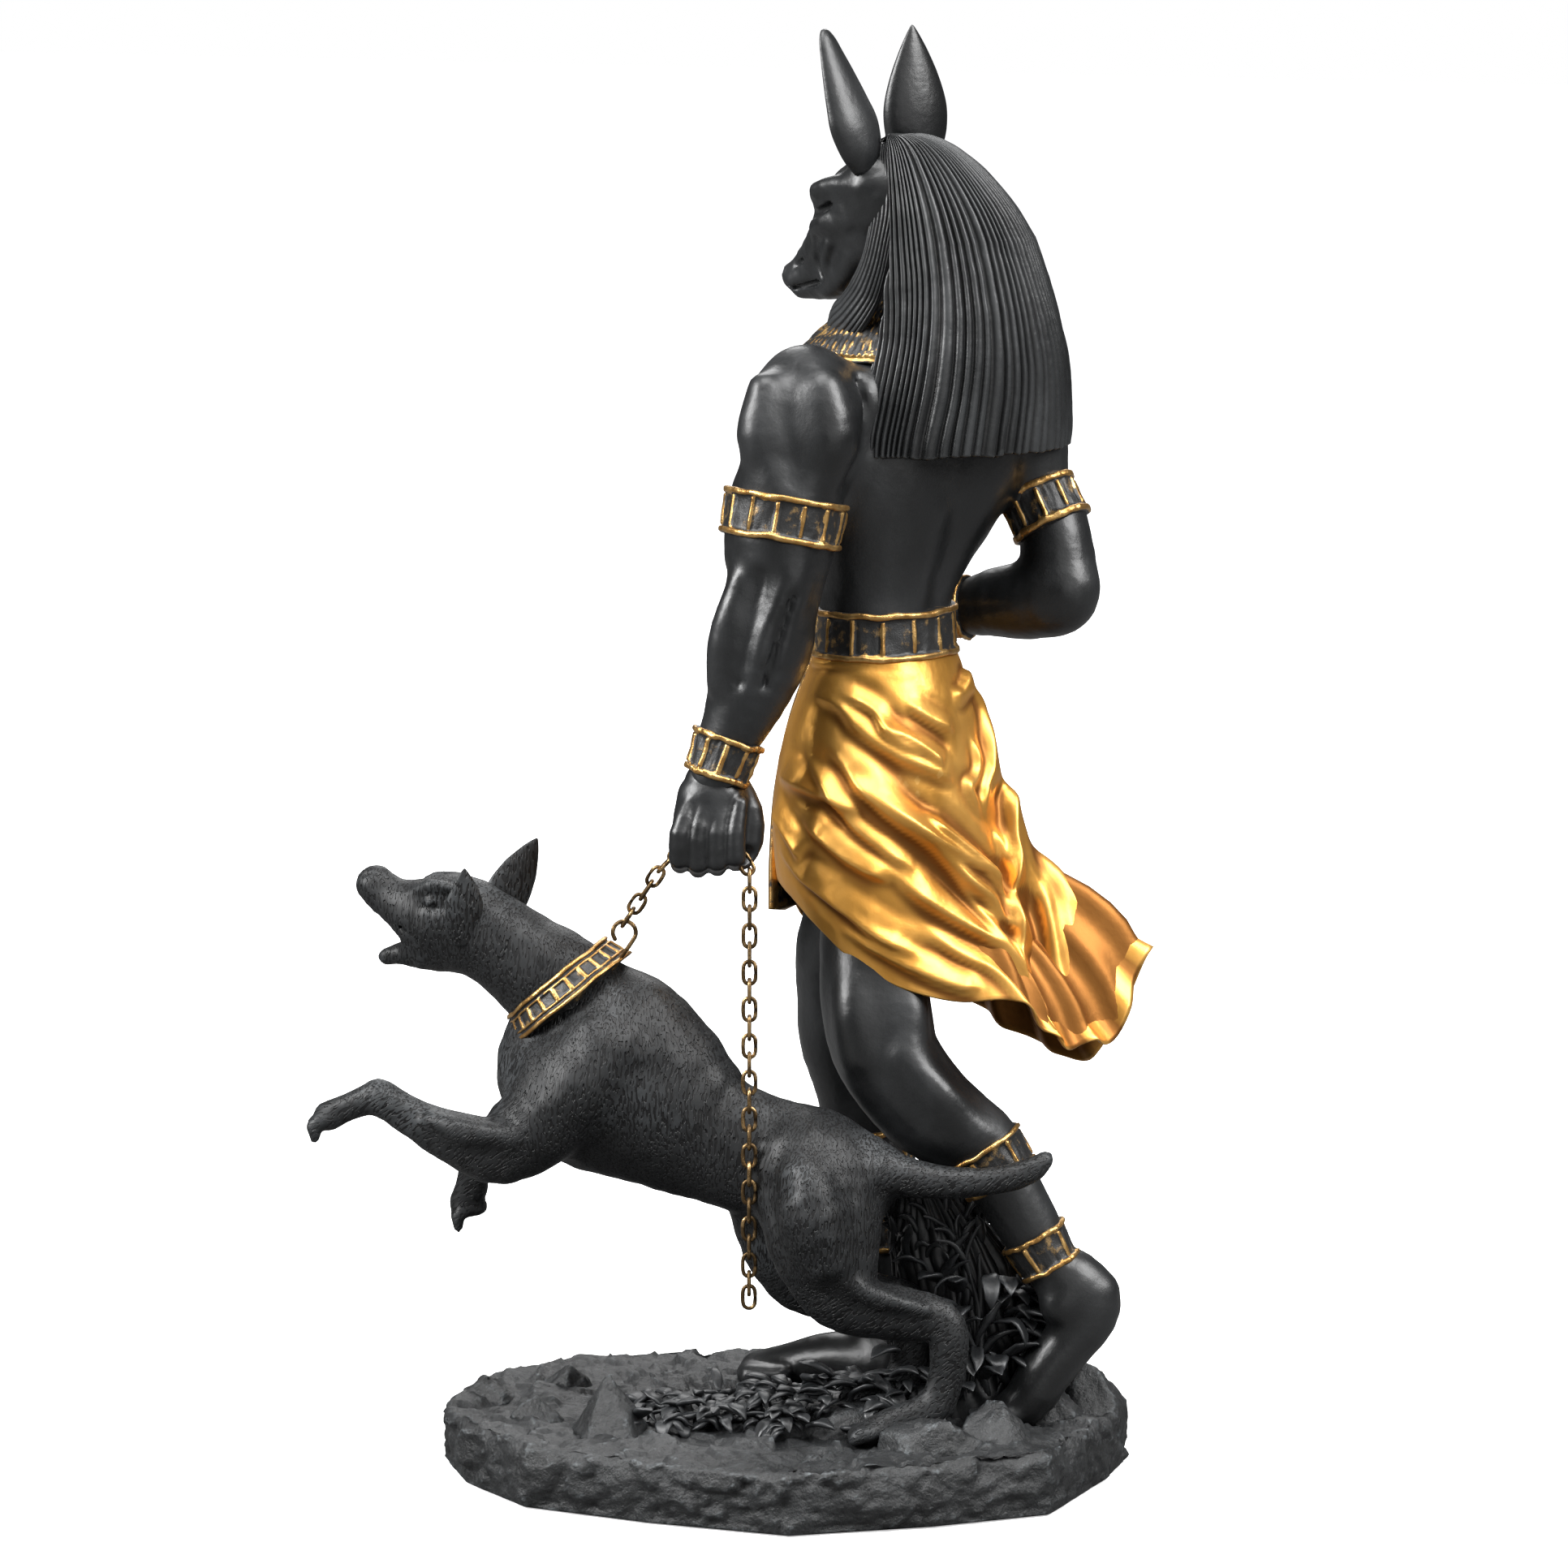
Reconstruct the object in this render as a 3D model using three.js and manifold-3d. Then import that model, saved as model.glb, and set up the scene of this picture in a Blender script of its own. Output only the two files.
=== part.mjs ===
// Resin statuette: a jackal-headed man strides with a leaping hound on a chain, on a rocky base.
// Millimetres, +Z up, origin under the base. Forms are laid out in the sculptor's frame (x to the
// figure's rear, y to its right) and turned once, so that man and hound stride along -Y.
import * as THREE from "three";
import { mergeVertices } from "three/addons/utils/BufferGeometryUtils.js";
import Module from "manifold-3d";

const wasm = await Module();
wasm.setup();

const STRIDE_TURN = 112; // degrees from the sculptor's frame to the part's frame
const CLEARANCE = 0.3; // gap left round a casting that stands in another
const WALL = 1.0; // how far a painted band stands out from the limb
const LIP = 1.5; // height of a band's raised rim
const WIG_FLUTES = 24;
const WIG_FLUTE_DEPTH = 0.75;
const KILT_FOLDS = 10;
const KILT_FOLD_DEPTH = 1.2;
const KILT_SWEEP = 2; // how hard the folds are drawn round to the flare
const KILT_FLARE_HEADING = -8;
const MOUND_LEAVES = 11;
const CLUMP_LEAVES = 6;
const LINK_LENGTH = 5.4;
const LINK_WIDTH = 3.3;
const CHAIN_WIRE = 0.8;
const CHAIN_PITCH = 3.7;
const EYE_WIRE = 0.9;
const EYE_RADIUS = 2.3;
const UP = new THREE.Vector3(0, 0, 1);

const radians = THREE.MathUtils.degToRad;
const point = (x, y, z) => new THREE.Vector3(x, y, z);
const heading = (degrees) => point(Math.cos(radians(degrees)), Math.sin(radians(degrees)), 0);
const DEPTH = point(0, 1, 0);
const HOUND_SIDE = heading(-101); // the hound's left
const CHEST_SIDE = heading(221); // the man's left, at the shoulders

// Repeatable unevenness between -1 and 1.
const waver = (a, b = 0) => Math.sin(a * 12.9898 + b * 78.233) * Math.cos(a * 4.37 - b * 9.71);

function solidOf(geometry) {
  const bare = geometry.clone();
  bare.deleteAttribute("normal");
  bare.deleteAttribute("uv");
  const merged = mergeVertices(bare, 1e-4);
  return new wasm.Manifold(
    new wasm.Mesh({
      numProp: 3,
      vertProperties: merged.attributes.position.array,
      triVerts: new Uint32Array(merged.index.array),
    }),
  );
}

const joined = (solids) => solids.reduce((whole, next) => whole.add(next));

// A closed body over rings of points that turn anticlockwise about the way they are strung.
function ringsToSolid(rings, firstPole, lastPole) {
  const sides = rings[0].length;
  const points = [firstPole, ...rings.flat(), lastPole];
  const last = points.length - 1;
  const at = (row, k) => 1 + row * sides + (k % sides);
  const index = [];
  for (let k = 0; k < sides; k += 1) {
    index.push(0, at(0, k + 1), at(0, k));
    index.push(last, at(rings.length - 1, k), at(rings.length - 1, k + 1));
    for (let row = 0; row + 1 < rings.length; row += 1) {
      index.push(at(row, k), at(row, k + 1), at(row + 1, k + 1));
      index.push(at(row, k), at(row + 1, k + 1), at(row + 1, k));
    }
  }
  const geometry = new THREE.BufferGeometry();
  geometry.setAttribute(
    "position",
    new THREE.Float32BufferAttribute(points.flatMap((p) => p.toArray()), 3),
  );
  geometry.setIndex(index);
  return solidOf(geometry);
}

// The ring round a centre in the plane square to `along`, with `across` as its first axis.
function ringAt(centre, along, across, sides, section) {
  const u = across.clone().addScaledVector(along, -across.dot(along)).normalize();
  const w = along.clone().cross(u);
  return Array.from({ length: sides }, (_, k) => {
    const [a, b] = section((2 * Math.PI * k) / sides);
    return centre.clone().addScaledVector(u, a).addScaledVector(w, b);
  });
}

// A limb or muscle through [x, y, z, radius] rows. `flat` scales the radius along `across`, and
// `cap` is how far each end domes out, in radii.
function limb(rows, { sides = 8, flat = 1, across = DEPTH, cap = 0.6, grow = 0 } = {}) {
  const centres = rows.map(([x, y, z]) => point(x, y, z));
  const tangents = centres.map((_, i) => {
    const from = centres[Math.max(i - 1, 0)];
    const to = centres[Math.min(i + 1, centres.length - 1)];
    return to.clone().sub(from).normalize();
  });
  const rings = rows.map(([, , , radius], i) => {
    const r = radius + grow;
    return ringAt(centres[i], tangents[i], across, sides, (a) => [
      r * flat * Math.cos(a),
      r * Math.sin(a),
    ]);
  });
  const end = rows.length - 1;
  const first = centres[0].clone().addScaledVector(tangents[0], -cap * rows[0][3] - grow);
  const last = centres[end].clone().addScaledVector(tangents[end], cap * rows[end][3] + grow);
  return ringsToSolid(rings, first, last);
}

// A rounded mass with its three half sizes, the first along `lean`.
function mass([x, y, z], [long, wide, deep], lean = heading(0), detail = [8, 5]) {
  const ball = new THREE.SphereGeometry(1, detail[0], detail[1]);
  ball.scale(long, wide, deep);
  const side = UP.clone().cross(lean);
  if (side.lengthSq() < 1e-6) side.set(0, 1, 0);
  side.normalize();
  const top = lean.clone().cross(side);
  ball.applyMatrix4(new THREE.Matrix4().makeBasis(lean, side, top));
  ball.translate(x, y, z);
  return solidOf(ball);
}

// Rows of a painted band with two raised rims, to be strung in a limb: `a` and `b` are the
// limb's own rows at its ends, and the first `radii` numbers after the place are half sizes.
function bandRows(a, b, radii = 1) {
  const length = point(...a).distanceTo(point(...b));
  const row = (t, stand) =>
    a.map((start, k) => {
      const value = THREE.MathUtils.lerp(start, b[k], t);
      return k > 2 && k < 3 + radii ? value + stand : value;
    });
  const lip = LIP / length;
  return [
    a,
    row(0, WALL),
    row(lip, WALL),
    row(lip, WALL / 3),
    row(1 - lip, WALL / 3),
    row(1 - lip, WALL),
    row(1, WALL),
    b,
  ];
}

// A pointed blade along [x, y, z, half width] rows: rounded behind, hollow towards `facing`.
function blade(rows, facing, thick, hollow) {
  const centres = rows.map(([x, y, z]) => point(x, y, z));
  const rings = rows.map(([, , , half], i) => {
    const from = centres[Math.max(i - 1, 0)];
    const to = centres[Math.min(i + 1, rows.length - 1)];
    const along = to.clone().sub(from).normalize();
    const across = along.clone().cross(facing).normalize();
    const depth = thick * Math.min(1, half / rows[1][3]);
    return ringAt(centres[i], along, across, 8, (a) => [
      half * Math.cos(a),
      (Math.sin(a) > 0 ? 1 : hollow) * depth * Math.abs(Math.sin(a)),
    ]);
  });
  const start = centres[0].clone().lerp(centres[1], -0.15);
  const tip = centres[rows.length - 1].clone().lerp(centres[rows.length - 2], -0.35);
  return ringsToSolid(rings, start, tip);
}

function trailingLeg(grow = 0) {
  const rows = [
    [17, -7, 124, 10],
    [17.4, -10.6, 106, 12],
    [19, -13, 93, 11.3],
    [21.5, -14, 85.5, 10.4],
    [28, -15, 77, 9.9],
    [34.4, -15.5, 72, 8.9],
    ...bandRows([39.4, -15.8, 68.6, 8], [43.8, -16.2, 61.6, 7.2]),
    ...bandRows([50, -16.8, 50.8, 6.2], [54, -17.3, 43.8, 5.4]),
    [57, -17.4, 40.4, 5.2],
  ];
  return limb(rows, { grow });
}

// The rear foot, up on its toes; `grow` thickens it to clear a hollow for it.
function trailingFoot(grow = 0) {
  return limb(
    [
      [59, -17, 42.6, 4.4],
      [62.4, -17, 37.6, 5.6],
      [60.8, -17.3, 31.8, 6],
      [56.6, -18, 25.6, 5.6],
      [51.5, -19, 18.5, 5.6],
      [46.5, -20, 14.8, 4.4],
      [40, -19, 14.2, 3.2],
    ],
    { grow, flat: 0.95 },
  );
}

function leadingLeg() {
  return limb([
    [19, 12, 124, 10],
    [15, 15, 105, 12.2],
    [13.6, 15.6, 93, 11],
    [13.6, 16, 85, 10.4],
    [15.4, 15.4, 74, 8.8],
    ...bandRows([16.6, 14.6, 66, 8.7], [17.4, 13.8, 58.6, 8]),
    ...bandRows([18.6, 12.5, 48.6, 6.5], [19.4, 11.4, 41, 5.6]),
    [20.5, 9, 25, 5.1],
  ]);
}

function leadingFoot(grow = 0) {
  const sole = limb(
    [
      [25.5, 5.5, 17.6, 5],
      [20, 8.5, 18.5, 6.6],
      [11, 12.4, 18.4, 6.2],
      [2, 15.6, 16.2, 5.4],
      [-5, 18, 15, 4],
    ],
    { grow, across: UP, flat: 0.9 },
  );
  const toe = [2.2 + grow, 2 + grow, 2 + grow];
  const toes = [-1.2, 0, 1.2].map((i) =>
    mass([-8.4 + 1.6 * i, 18.8 + 3.4 * i, 14.6], toe, heading(158), [5, 4]),
  );
  return joined([sole, ...toes]);
}

function torso() {
  const rows = [
    [20.5, 2, 148, 17, 13, 66, 0],
    ...bandRows([20.4, 2, 166.4, 16.4, 13, 62, 0], [20.4, 2, 175.8, 15.7, 12.3, 60, 0.04], 2),
    [21.5, 2.3, 181, 16.6, 12.8, 55, 0.1],
    [24, 3, 190, 20.4, 14.6, 48, 0.12],
    [26, 3.6, 199, 25, 16, 43, 0.14],
    [27, 4, 208, 26, 16.4, 41, 0.14],
    [27.4, 4, 216, 22, 14.4, 41, 0.1],
    [28.2, 4, 222.5, 14.6, 11, 41, 0],
    [28.4, 4.6, 229, 9, 8.6, 41, 0],
    [22, 5.5, 250, 8, 8, 50, 0],
  ];
  const rings = rows.map(([x, y, z, wide, deep, turn, furrow]) =>
    ringAt(point(x, y, z), UP, heading(turn), 14, (a) => {
      const middle = Math.exp(-((Math.cos(a) / 0.3) ** 2));
      return [wide * Math.cos(a), deep * Math.sin(a) * (1 - furrow * middle)];
    }),
  );
  return ringsToSolid(rings, point(20.5, 2, 144), point(20, 6, 254));
}

function leftArm() {
  const shoulder = mass([4, -16, 215.6], [11.6, 12, 13], CHEST_SIDE, [10, 7]);
  const arm = limb([
    [5, -14, 222, 7],
    [3.6, -17.6, 211, 10.8],
    [2.8, -19, 205, 9.8],
    ...bandRows([0.6, -20.2, 200.4, 10.9], [-0.9, -21.2, 191.4, 11.1]),
    [-1.4, -21.6, 185, 9.8],
    [-3, -22.2, 178, 9.6],
    [-4.4, -22.8, 171, 10.1],
    [-6.6, -23.4, 163, 8.4],
    [-9.4, -23.9, 156, 6.8],
    ...bandRows([-10.8, -24.2, 152.8, 6.2], [-13.7, -25, 144.6, 5.4]),
  ]);
  return shoulder.add(arm);
}

// The fist closed on the chain, with a passage for it from side to side.
function leftHand() {
  const palm = limb(
    [
      [-13.4, -24.9, 145.4, 5.2],
      [-14.2, -25.4, 141, 7],
      [-15.2, -26, 134.5, 7.9],
      [-15.6, -26.4, 129, 7],
    ],
    { flat: 0.86, cap: 0.3 },
  );
  const knuckles = [-21, -17.2, -13.2, -9.6].map((x, i) =>
    mass([x, -27 - 0.4 * i, 130 - 0.5 * Math.sin(i)], [2.3, 5, 3.4], heading(0), [5, 3]),
  );
  const thumb = limb(
    [
      [-10, -23.5, 142.6, 2.4],
      [-7.2, -24, 136, 2.4],
      [-6.6, -25, 131, 2],
    ],
    { sides: 6 },
  );
  return joined([palm, ...knuckles, thumb]);
}

function rightArm() {
  const upperArm = limb([
    [44.4, 20.6, 222, 7],
    [46.2, 20.4, 214, 10.2],
    [48.2, 19.4, 206, 9.4],
    ...bandRows([50.8, 17.2, 198, 7.2], [54.6, 14.4, 190, 7.2]),
    [55.6, 12.4, 181, 7.6],
    [55.8, 11.2, 175.6, 6.8],
  ]);
  const forearm = limb([
    [57, 10.4, 177.6, 6.4],
    [51.5, 13, 175.6, 7.8],
    [44.2, 16.4, 174.6, 7.2],
    ...bandRows([37.6, 19.4, 173.2, 5.6], [31.6, 22.5, 172.6, 4.6]),
    [25.5, 25.4, 172.4, 5.6],
    [19, 27.6, 172.2, 6],
    [14, 29, 171.6, 4.6],
  ]);
  return upperArm.add(forearm);
}

function head() {
  const skull = limb(
    [
      [27, -1.6, 257.5, 8],
      [22, 0.6, 258, 11],
      [17.6, 3.4, 257.2, 11],
      [13, 7, 255.2, 9.2],
      [11.4, 9.8, 251.6, 7.2],
      [8.8, 12.6, 247.4, 5.4],
      [5.4, 15.6, 243.6, 4.2],
      [2.3, 18.2, 240.6, 3],
    ],
    { sides: 9 },
  );
  const jaw = limb(
    [
      [18, 3, 249.4, 8],
      [12, 8, 244, 5.4],
      [8, 12, 240.6, 3.8],
      [4.7, 15, 239, 2.8],
    ],
    { sides: 8 },
  );
  const brow = mass([6.8, 5.4, 259.4], [2.6, 4.4, 2.4], heading(140), [5, 4]);
  const farBrow = mass([14.8, 15, 259.4], [2.6, 4.4, 2.4], heading(140), [5, 4]);
  return joined([skull, jaw, brow, farBrow]);
}

function ear(root, tip, facing, halfWidth) {
  const outline = [0.55, 0.86, 1, 0.94, 0.74, 0.44];
  const rows = outline.map((share, i) => {
    const t = i / (outline.length - 0.4);
    return [...root.map((c, k) => c + (tip[k] - c) * t), halfWidth * share];
  });
  return blade(rows, facing, 4.2, 0.3);
}

// Fluted wig: rings widen from the crown to the hem; flutes run down its back and sides.
function wig() {
  const rows = [
    [25.6, 3, 266.6, 11.2, 9.6],
    [30.4, 2.5, 258.4, 13.9, 12.1],
    [36, 1, 240.6, 17.4, 13.6],
    [37, 0.4, 224, 22.4, 14.4],
    [35.8, 0.5, 207.6, 25.2, 14.4],
  ];
  const rings = rows.map(([x, y, z, wide, deep]) => {
    return ringAt(point(x, y, z), UP, heading(38), WIG_FLUTES * 2, (a) => {
      const inset = Math.cos(a * WIG_FLUTES) < 0 ? WIG_FLUTE_DEPTH : 0;
      return [(wide - inset) * Math.cos(a), (deep - inset) * Math.sin(a)];
    });
  });
  rings.reverse();
  return ringsToSolid(rings, point(34, 1.5, 208.6), point(26.8, 3, 270));
}

function lappet(rows) {
  return limb(rows, { sides: 8, across: heading(-130), flat: 0.42, cap: 0.2 });
}

// Broad collar lying over the shoulders and chest.
function collar() {
  const stops = [
    [7, 238, 0],
    [15, 233, 0.25],
    [21.4, 228.2, 0.4],
    [21.8, 226, 0.4],
    [14, 228, 0.25],
  ];
  const forward = heading(131);
  const rings = stops.map(([radius, z, sag]) =>
    Array.from({ length: 15 }, (_, k) => {
      const way = heading(24 * k);
      const ahead = Math.max(0, way.dot(forward));
      return point(22.4 + way.x * radius, 8 + way.y * radius, z - sag * radius * ahead ** 2);
    }),
  );
  rings.reverse();
  return ringsToSolid(rings, point(22.4, 8, 225), point(22.4, 8, 239));
}

function kiltHem() {
  const rows = [
    [-180, 23, 117],
    [-154, 23.3, 116.6],
    [-132, 22.2, 113],
    [-111, 21.4, 108.6],
    [-90, 22.4, 104.2],
    [-71, 24.7, 101.8],
    [-52, 28.6, 99.6],
    [-39, 34.8, 96],
    [-30, 40, 90.5],
    [-21, 45.5, 90],
    [-13, 49.8, 97],
    [-3, 53.9, 106],
    [6, 46.9, 97],
    [19, 36.6, 88],
    [41, 28.8, 92],
    [74, 24.4, 97],
    [113, 23.9, 104],
    [145, 23.6, 112],
    [180, 23, 117],
  ];
  const stations = rows.map(([turn]) => turn);
  const values = rows.flatMap(([, reach, height]) => [reach, height]);
  return new THREE.CubicInterpolant(stations, values, 2, new Float32Array(2));
}

// Wind-blown kilt: from the belt it rounds the hips and flares to the trailing side, with folds
// that start at the front of the hip and sweep down to the flare.
function kilt() {
  const columns = KILT_FOLDS * 4;
  const levels = 7;
  const hem = kiltHem();
  const core = point(20.4, 2, 0);
  const rings = [];
  for (let level = 0; level <= levels; level += 1) {
    const t = level / levels;
    const draw = Math.exp(KILT_SWEEP * (0.5 - t));
    const ring = Array.from({ length: columns }, (_, k) => {
      const middle = Math.PI * ((2 * k + 1) / columns - 1);
      const swing = 2 * Math.atan(draw * Math.tan(middle / 2));
      const turn = THREE.MathUtils.radToDeg(swing) + KILT_FLARE_HEADING;
      const [reach, height] = hem.evaluate(THREE.MathUtils.euclideanModulo(turn + 180, 360) - 180);
      const back = Math.max(0, Math.cos(swing));
      const belt = 13 + 3.6 * Math.cos(radians(turn - 62)) ** 2;
      const hip = belt + 7.6 + 4 * back;
      const thigh = belt + 9.6 - 5 * back + 0.08 * (reach - belt);
      const radius =
        belt * (1 - t) ** 3 + 3 * hip * t * (1 - t) ** 2 + 3 * thigh * t * t * (1 - t) + reach * t ** 3;
      const fold = KILT_FOLD_DEPTH * Math.min(1, 2.2 * t) * Math.cos(KILT_FOLDS * middle);
      const z = THREE.MathUtils.lerp(167, height, t ** 0.96);
      return core.clone().addScaledVector(heading(turn), radius + fold).setZ(z);
    });
    rings.push(ring);
  }
  const rim = rings[levels];
  const inside = (share, rise) =>
    rim.map((p) => core.clone().setZ(p.z).lerp(p, share).setZ(p.z + rise));
  const all = [inside(0.55, 14), inside(0.92, 3), ...rings.reverse()];
  return ringsToSolid(all, point(22, 2, 128), point(20.4, 2, 168));
}

function apron() {
  const panel = [
    [10, 7.5, 168, 7.6],
    [2, 10, 152, 8],
    [-2.2, 11, 138, 8.4],
    [-3.4, 11.5, 124, 8.8],
    [-3, 11.4, 113, 9.6],
  ];
  return limb(panel, { sides: 8, across: heading(158), flat: 0.2, cap: 0.05 });
}

function figure() {
  const pieces = [
    torso(),
    trailingLeg(),
    trailingFoot(),
    leadingLeg(),
    leadingFoot(),
    leftArm(),
    leftHand(),
    rightArm(),
    head(),
    ear([16.4, -4.8, 260.5], [7.6, -4.2, 291.4], point(-0.6, 0.4, 0), 5.4),
    ear([26.3, 9.4, 263], [25.6, 9, 290.8], point(-0.5, 0.86, 0), 7.2),
    wig(),
    lappet([
      [21.6, -2, 260, 5],
      [20.8, -1.4, 250, 6],
      [19.6, 0, 241, 6.4],
      [18.6, 3, 233, 6.6],
      [15.2, 8, 222, 7.2],
      [10.6, 12, 206, 7.6],
    ]),
    lappet([
      [30, 11, 260, 5],
      [28, 13.4, 250, 6],
      [25, 16, 240, 6.4],
      [22.6, 20, 231, 7],
      [20, 22, 220, 7.6],
      [19, 23, 206, 7.6],
    ]),
    collar(),
    kilt(),
    apron(),
  ];
  return joined(pieces).subtract(chainPassage());
}

function chainPassage() {
  return limb(
    [
      [-27, -23, 128, 2.4],
      [-15.4, -26.2, 129.7, 2.5],
      [-3, -28.8, 129.2, 3],
    ],
    { sides: 6 },
  );
}

// Hound: deep chest, tucked loin, hind feet on the ground and forelegs in the air.
function houndTrunk() {
  const trunk = limb(
    [
      [-56, -8, 110.4, 9],
      [-50, -9.4, 104.4, 10],
      ...bandRows([-46.4, -10.2, 101.8, 11], [-42.4, -10.8, 96.4, 13.4]),
      [-40.6, -11.4, 86, 18.8],
      [-28.4, -14, 80, 17.4],
      [-16.6, -16.2, 72.4, 14.8],
      [-5, -18.4, 67, 12.6],
      [4.6, -20.4, 64.6, 13],
      [12, -22, 63, 10.4],
    ],
    { sides: 10, across: HOUND_SIDE, flat: 0.78 },
  );
  const shoulder = mass([-43, -19.5, 84], [6.5, 15, 10], HOUND_SIDE);
  const farShoulder = mass([-40, -4.5, 84], [6.5, 15, 10], HOUND_SIDE);
  return [trunk, shoulder, farShoulder];
}

function houndHead() {
  const skull = limb(
    [
      [-52, -8.6, 109.6, 9],
      [-61.6, -6.4, 113.4, 8.4],
      [-66.6, -5.4, 113.6, 7.4],
      [-71.4, -4.2, 116, 5.4],
      [-77.4, -3, 118.4, 4.2],
      [-83.6, -2, 120.4, 3.3],
    ],
    { sides: 8, across: HOUND_SIDE, flat: 0.86, cap: 0.35 },
  );
  const jaw = limb(
    [
      [-60, -6.6, 108, 6],
      [-68, -4.8, 107.6, 4.2],
      [-74.6, -3.6, 105.2, 2.8],
      [-80, -2.4, 104.6, 2],
    ],
    { sides: 6, across: HOUND_SIDE, flat: 1.1 },
  );
  const nearEar = blade(
    [
      [-62.6, -11, 112, 2.6],
      [-63.2, -12.4, 116, 3.2],
      [-64.2, -13.6, 120.6, 2.6],
      [-64.6, -14.2, 124, 1.2],
    ],
    point(-0.8, -0.6, 0),
    2.6,
    0.3,
  );
  const farEar = blade(
    [
      [-58.4, -3, 115, 2.8],
      [-55.6, -1.8, 119.4, 3.6],
      [-52.4, -0.8, 124.4, 3],
      [-50.2, 0, 128, 1.2],
    ],
    point(-0.6, 0.8, 0.2),
    2.6,
    0.3,
  );
  return [skull, jaw, nearEar, farEar];
}

function houndForelegs() {
  const near = limb(
    [
      [-45.4, -20.6, 80, 9],
      [-51.4, -22.6, 72.4, 8],
      [-57.4, -23.8, 69.4, 7],
      [-65, -24, 71.4, 5.6],
      [-73.6, -23.2, 75.4, 3.9],
      [-79.8, -22.6, 79, 3.6],
      [-87.2, -22, 77.8, 3],
      [-93.4, -21.4, 75.4, 3.1],
    ],
    { sides: 7, across: HOUND_SIDE, flat: 0.86 },
  );
  const far = limb(
    [
      [-41, -4, 79, 9],
      [-47, -2.4, 70, 7.4],
      [-53, -1.6, 65, 5.4],
      [-59.4, -1, 59, 3.6],
      [-63, -0.6, 54.4, 3],
      [-65.6, -0.2, 51.4, 3.3],
    ],
    { sides: 7, across: HOUND_SIDE, flat: 0.86 },
  );
  return [near, far];
}

function houndHindLeg(forward, across, grow = 0) {
  const rows = [
    [6.4, -26.4, 64, 11.5],
    [7.6, -28.4, 54.5, 11.8],
    [9.4, -29.6, 46, 9.6],
    [12.6, -30.4, 39.8, 6.6],
    [21.8, -31, 37.6, 5.6],
    [30.6, -31.4, 36, 4.6],
    [33, -31.8, 31.6, 4],
    [31.8, -32, 23, 3.6],
    [29.4, -32.4, 18.2, 4],
    [22.6, -33.2, 15.6, 3.6],
    [17.6, -34, 14, 2.8],
  ].map(([x, y, z, r]) => [x - forward, y + across, z, r]);
  return limb(rows, { sides: 7, across: HOUND_SIDE, flat: 0.8, grow });
}

function houndTail() {
  return limb(
    [
      [12, -22.4, 65.6, 7],
      [18, -24, 65.4, 5.4],
      [25, -25.6, 64, 3.9],
      [34.6, -27.4, 63.2, 3.1],
      [44.3, -28.4, 64.4, 2.8],
      [49.4, -28.4, 66.2, 2.4],
      [52.2, -28, 68.4, 1.7],
    ],
    { sides: 7 },
  );
}

function hound() {
  const pieces = [
    ...houndTrunk(),
    ...houndHead(),
    ...houndForelegs(),
    houndHindLeg(0, 0),
    houndHindLeg(7, 17),
    houndTail(),
  ];
  return joined(pieces).subtract(collarEye(CLEARANCE));
}

// Bent wire eye on the hound's collar; `grow` thickens it to clear its hole.
function collarEye(grow = 0) {
  const centre = point(-31.9, -18, 112.4);
  const rows = [];
  for (let i = 0; i <= 9; i += 1) {
    const a = radians(215 - 28 * i);
    rows.push([
      centre.x + EYE_RADIUS * Math.cos(a),
      centre.y,
      centre.z + EYE_RADIUS * Math.sin(a),
      EYE_WIRE / 2,
    ]);
  }
  rows.push([-32, -17, 108, EYE_WIRE / 2]);
  rows.push([-35, -15.4, 103.6, EYE_WIRE / 2]);
  return limb(rows, { sides: 6, across: point(0, 1, 0), cap: 0.2, grow });
}

// Oval link with round ends, lying along +X.
function linkGeometry() {
  const half = LINK_LENGTH / 2 - CHAIN_WIRE / 2;
  const wide = LINK_WIDTH / 2 - CHAIN_WIRE / 2;
  const around = 8;
  const round = 3;
  const points = [];
  const index = [];
  for (let k = 0; k < around; k += 1) {
    const a = (2 * Math.PI * k) / around;
    const out = point(Math.cos(a) * wide, Math.sin(a) * wide, 0).normalize();
    const centre = point(
      Math.sign(Math.round(Math.cos(a) * 8)) * (half - wide) + Math.cos(a) * wide,
      Math.sin(a) * wide,
      0,
    );
    for (let m = 0; m < round; m += 1) {
      const b = (2 * Math.PI * (m + 0.5)) / round;
      const spread = CHAIN_WIRE / 2 / Math.cos(Math.PI / round / 2);
      points.push(
        centre
          .clone()
          .addScaledVector(out, spread * Math.cos(b))
          .addScaledVector(UP, spread * Math.sin(b)),
      );
      const here = k * round + m;
      const over = k * round + ((m + 1) % round);
      const next = ((k + 1) % around) * round + m;
      const cross = ((k + 1) % around) * round + ((m + 1) % round);
      index.push(here, cross, over, here, next, cross);
    }
  }
  const geometry = new THREE.BufferGeometry();
  geometry.setAttribute(
    "position",
    new THREE.Float32BufferAttribute(points.flatMap((p) => p.toArray()), 3),
  );
  geometry.setIndex(index);
  return geometry;
}

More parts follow.
